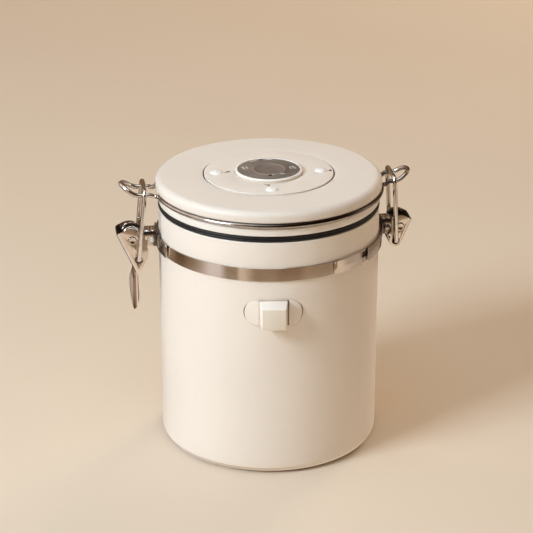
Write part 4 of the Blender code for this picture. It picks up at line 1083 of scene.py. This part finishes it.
def card_material(name, stops):
    """Emission that runs round the canister through stops of (azimuth, tone)."""
    material = bpy.data.materials.new(name)
    material.use_nodes = True
    tree = material.node_tree
    tree.nodes.clear()
    coords = tree.nodes.new("ShaderNodeTexCoord")
    parts = tree.nodes.new("ShaderNodeSeparateXYZ")
    turn = tree.nodes.new("ShaderNodeMath")
    turn.operation = "ARCTAN2"
    spread = tree.nodes.new("ShaderNodeMapRange")
    spread.inputs["From Min"].default_value = -pi
    spread.inputs["From Max"].default_value = pi
    ramp = tree.nodes.new("ShaderNodeValToRGB")
    while len(ramp.color_ramp.elements) < len(stops):
        ramp.color_ramp.elements.new(1.0)
    for element, (azimuth, colour) in zip(ramp.color_ramp.elements, stops):
        element.position = (azimuth + 180.0) / 360.0
        element.color = (*colour, 1.0)
    glow = tree.nodes.new("ShaderNodeEmission")
    flip = tree.nodes.new("ShaderNodeMath")
    flip.operation = "MULTIPLY"
    flip.inputs[1].default_value = -1.0
    output = tree.nodes.new("ShaderNodeOutputMaterial")
    tree.links.new(coords.outputs["Object"], parts.inputs[0])
    tree.links.new(parts.outputs["X"], turn.inputs[0])
    tree.links.new(parts.outputs["Y"], flip.inputs[0])
    tree.links.new(flip.outputs[0], turn.inputs[1])
    tree.links.new(turn.outputs[0], spread.inputs["Value"])
    tree.links.new(spread.outputs["Result"], ramp.inputs["Fac"])
    tree.links.new(ramp.outputs["Color"], glow.inputs["Color"])
    tree.links.new(glow.outputs[0], output.inputs["Surface"])
    return material


def only_in_metal(card, material):
    """Show a card to mirror rays and to nothing else."""
    card.data.materials.append(material)
    for ray in ("camera", "diffuse", "transmission", "volume_scatter", "shadow"):
        setattr(card, "visible_" + ray, False)


only()
bpy.ops.mesh.primitive_plane_add(size=30.0)
floor = bpy.context.object
floor.name = "floor"
floor_recipe = Recipe("floor_plaster", ior=1.3)
floor_tone = floor_recipe.noise(260.0, 4.0)
floor_grain = floor_recipe.noise(1.4, 3.0, 0.6)
floor.data.materials.append(floor_recipe.feed(
    base_color=floor_recipe.mix(floor_tone, shade(224, 208, 187), shade(230, 215, 195)),
    roughness=0.75 + floor_grain * 0.1,
    normal=floor_recipe.bump(floor_grain, 0.05, 0.4),
))

# Tones of the cards, from light to dark
glare = (1.05, 0.92, 0.86)
beige = (0.95, 0.76, 0.58)
sand = (0.62, 0.48, 0.38)
brown = (0.40, 0.27, 0.17)
bark = (0.30, 0.18, 0.10)
umber = (0.19, 0.11, 0.06)
dark = (0.06, 0.038, 0.026)
black = (0.01, 0.007, 0.005)


def round_card(name, radius, height, stops):
    """Round card that lies just above the floor; its sizes are in metres."""
    only()
    bpy.ops.mesh.primitive_circle_add(
        vertices=96, radius=radius, fill_type="NGON", location=(0, 0, height),
    )
    bpy.context.object.name = name + "_card"
    only_in_metal(bpy.context.object, card_material(name + "_glow", stops))


round_card("near", 0.315, 0.0012, [
    (-180.0, dark), (-130.0, umber), (-100.0, brown), (-75.0, glare), (-50.0, glare), (-25.0, beige),
    (66.0, beige), (86.0, sand), (130.0, sand), (141.0, black), (180.0, dark),
])
round_card("floor", 1.4, 0.0008, [
    (-180.0, dark), (-152.0, dark), (-146.0, umber), (-128.0, umber), (-122.0, brown), (-115.0, brown),
    (-108.0, umber), (-99.0, umber), (-92.0, bark), (-84.0, brown), (-75.0, sand), (-65.0, glare),
    (-55.0, glare), (-48.0, brown), (-37.6, brown), (-35.8, beige), (-31.5, beige), (-21.0, brown),
    (-4.0, brown), (4.0, bark), (18.0, bark), (28.0, brown), (55.6, brown), (57.0, beige),
    (65.0, beige), (70.0, sand), (87.0, sand), (98.0, brown), (133.0, brown), (141.0, black),
    (180.0, black),
])

only()
bpy.ops.mesh.primitive_cylinder_add(
    vertices=96, radius=2.2, depth=3.4, end_fill_type="NOTHING", location=(0, 0, 1.71),
)
wall_card = bpy.context.object
bpy.ops.object.transform_apply()
wall_card.name = "wall_card"
only_in_metal(wall_card, card_material("wall_glow", [
    (-180.0, bark), (-155.0, umber), (-125.0, glare), (-60.0, glare), (-38.0, bark), (-20.0, dark),
    (60.0, dark), (85.0, umber), (100.0, beige), (116.0, umber), (140.0, dark), (165.0, umber),
    (180.0, bark),
]))

world = bpy.data.worlds.new("studio")
bpy.context.scene.world = world
world.use_nodes = True
sky = world.node_tree.nodes
sky.clear()
soft = sky.new("ShaderNodeBackground")
soft.inputs["Color"].default_value = (1.0, 0.72, 0.50, 1.0)
soft.inputs["Strength"].default_value = 0.33
paper = sky.new("ShaderNodeBackground")
paper.inputs["Color"].default_value = (*shade(222, 205, 184), 1.0)
seen = sky.new("ShaderNodeLightPath")
choice = sky.new("ShaderNodeMixShader")
output = sky.new("ShaderNodeOutputWorld")
links = world.node_tree.links
links.new(seen.outputs["Is Camera Ray"], choice.inputs[0])
links.new(soft.outputs[0], choice.inputs[1])
links.new(paper.outputs[0], choice.inputs[2])
links.new(choice.outputs[0], output.inputs["Surface"])


def lamp(name, place, target, size, power, colour):
    """Soft square lamp that points at a place; its size is in metres, its power in watts."""
    bpy.ops.object.light_add(type="AREA", location=place)
    made = bpy.context.object
    made.name = name
    made.data.shape = "SQUARE"
    made.data.size = size
    made.data.energy = power
    made.data.color = colour
    made.rotation_euler = (Vector(target) - Vector(place)).to_track_quat("-Z", "Y").to_euler()
    return made


only()
lamp("window_lamp", (-1.338, -0.711, 1.061), (0, 0, 0.08), 0.6, 26.6, (0.765, 0.885, 1.0))
lamp("top_lamp", (-0.2, -0.3, 1.55), (0, 0, 0.1), 1.1, 6.2, (0.80, 0.92, 1.0))
back_lamp = lamp("back_lamp", (1.58, 1.89, 0.61), (0, 0, 0.08), 0.85, 33.0, (1.0, 0.83, 0.65))
back_lamp.visible_glossy = False

camera_place = (-0.14237, -0.96412, 0.49946)
camera_heading = Vector((0.1339, 0.9146, -0.3815))
bpy.ops.object.camera_add(location=camera_place)
camera = bpy.context.object
camera.name = "photo_camera"
camera.rotation_euler = camera_heading.to_track_quat("-Z", "Y").to_euler()
camera.data.sensor_width = 36.0
camera.data.lens = 129.31
camera.data.clip_start = 0.01
camera.data.clip_end = 60.0
bpy.context.scene.camera = camera
bpy.context.scene.view_settings.view_transform = "Standard"
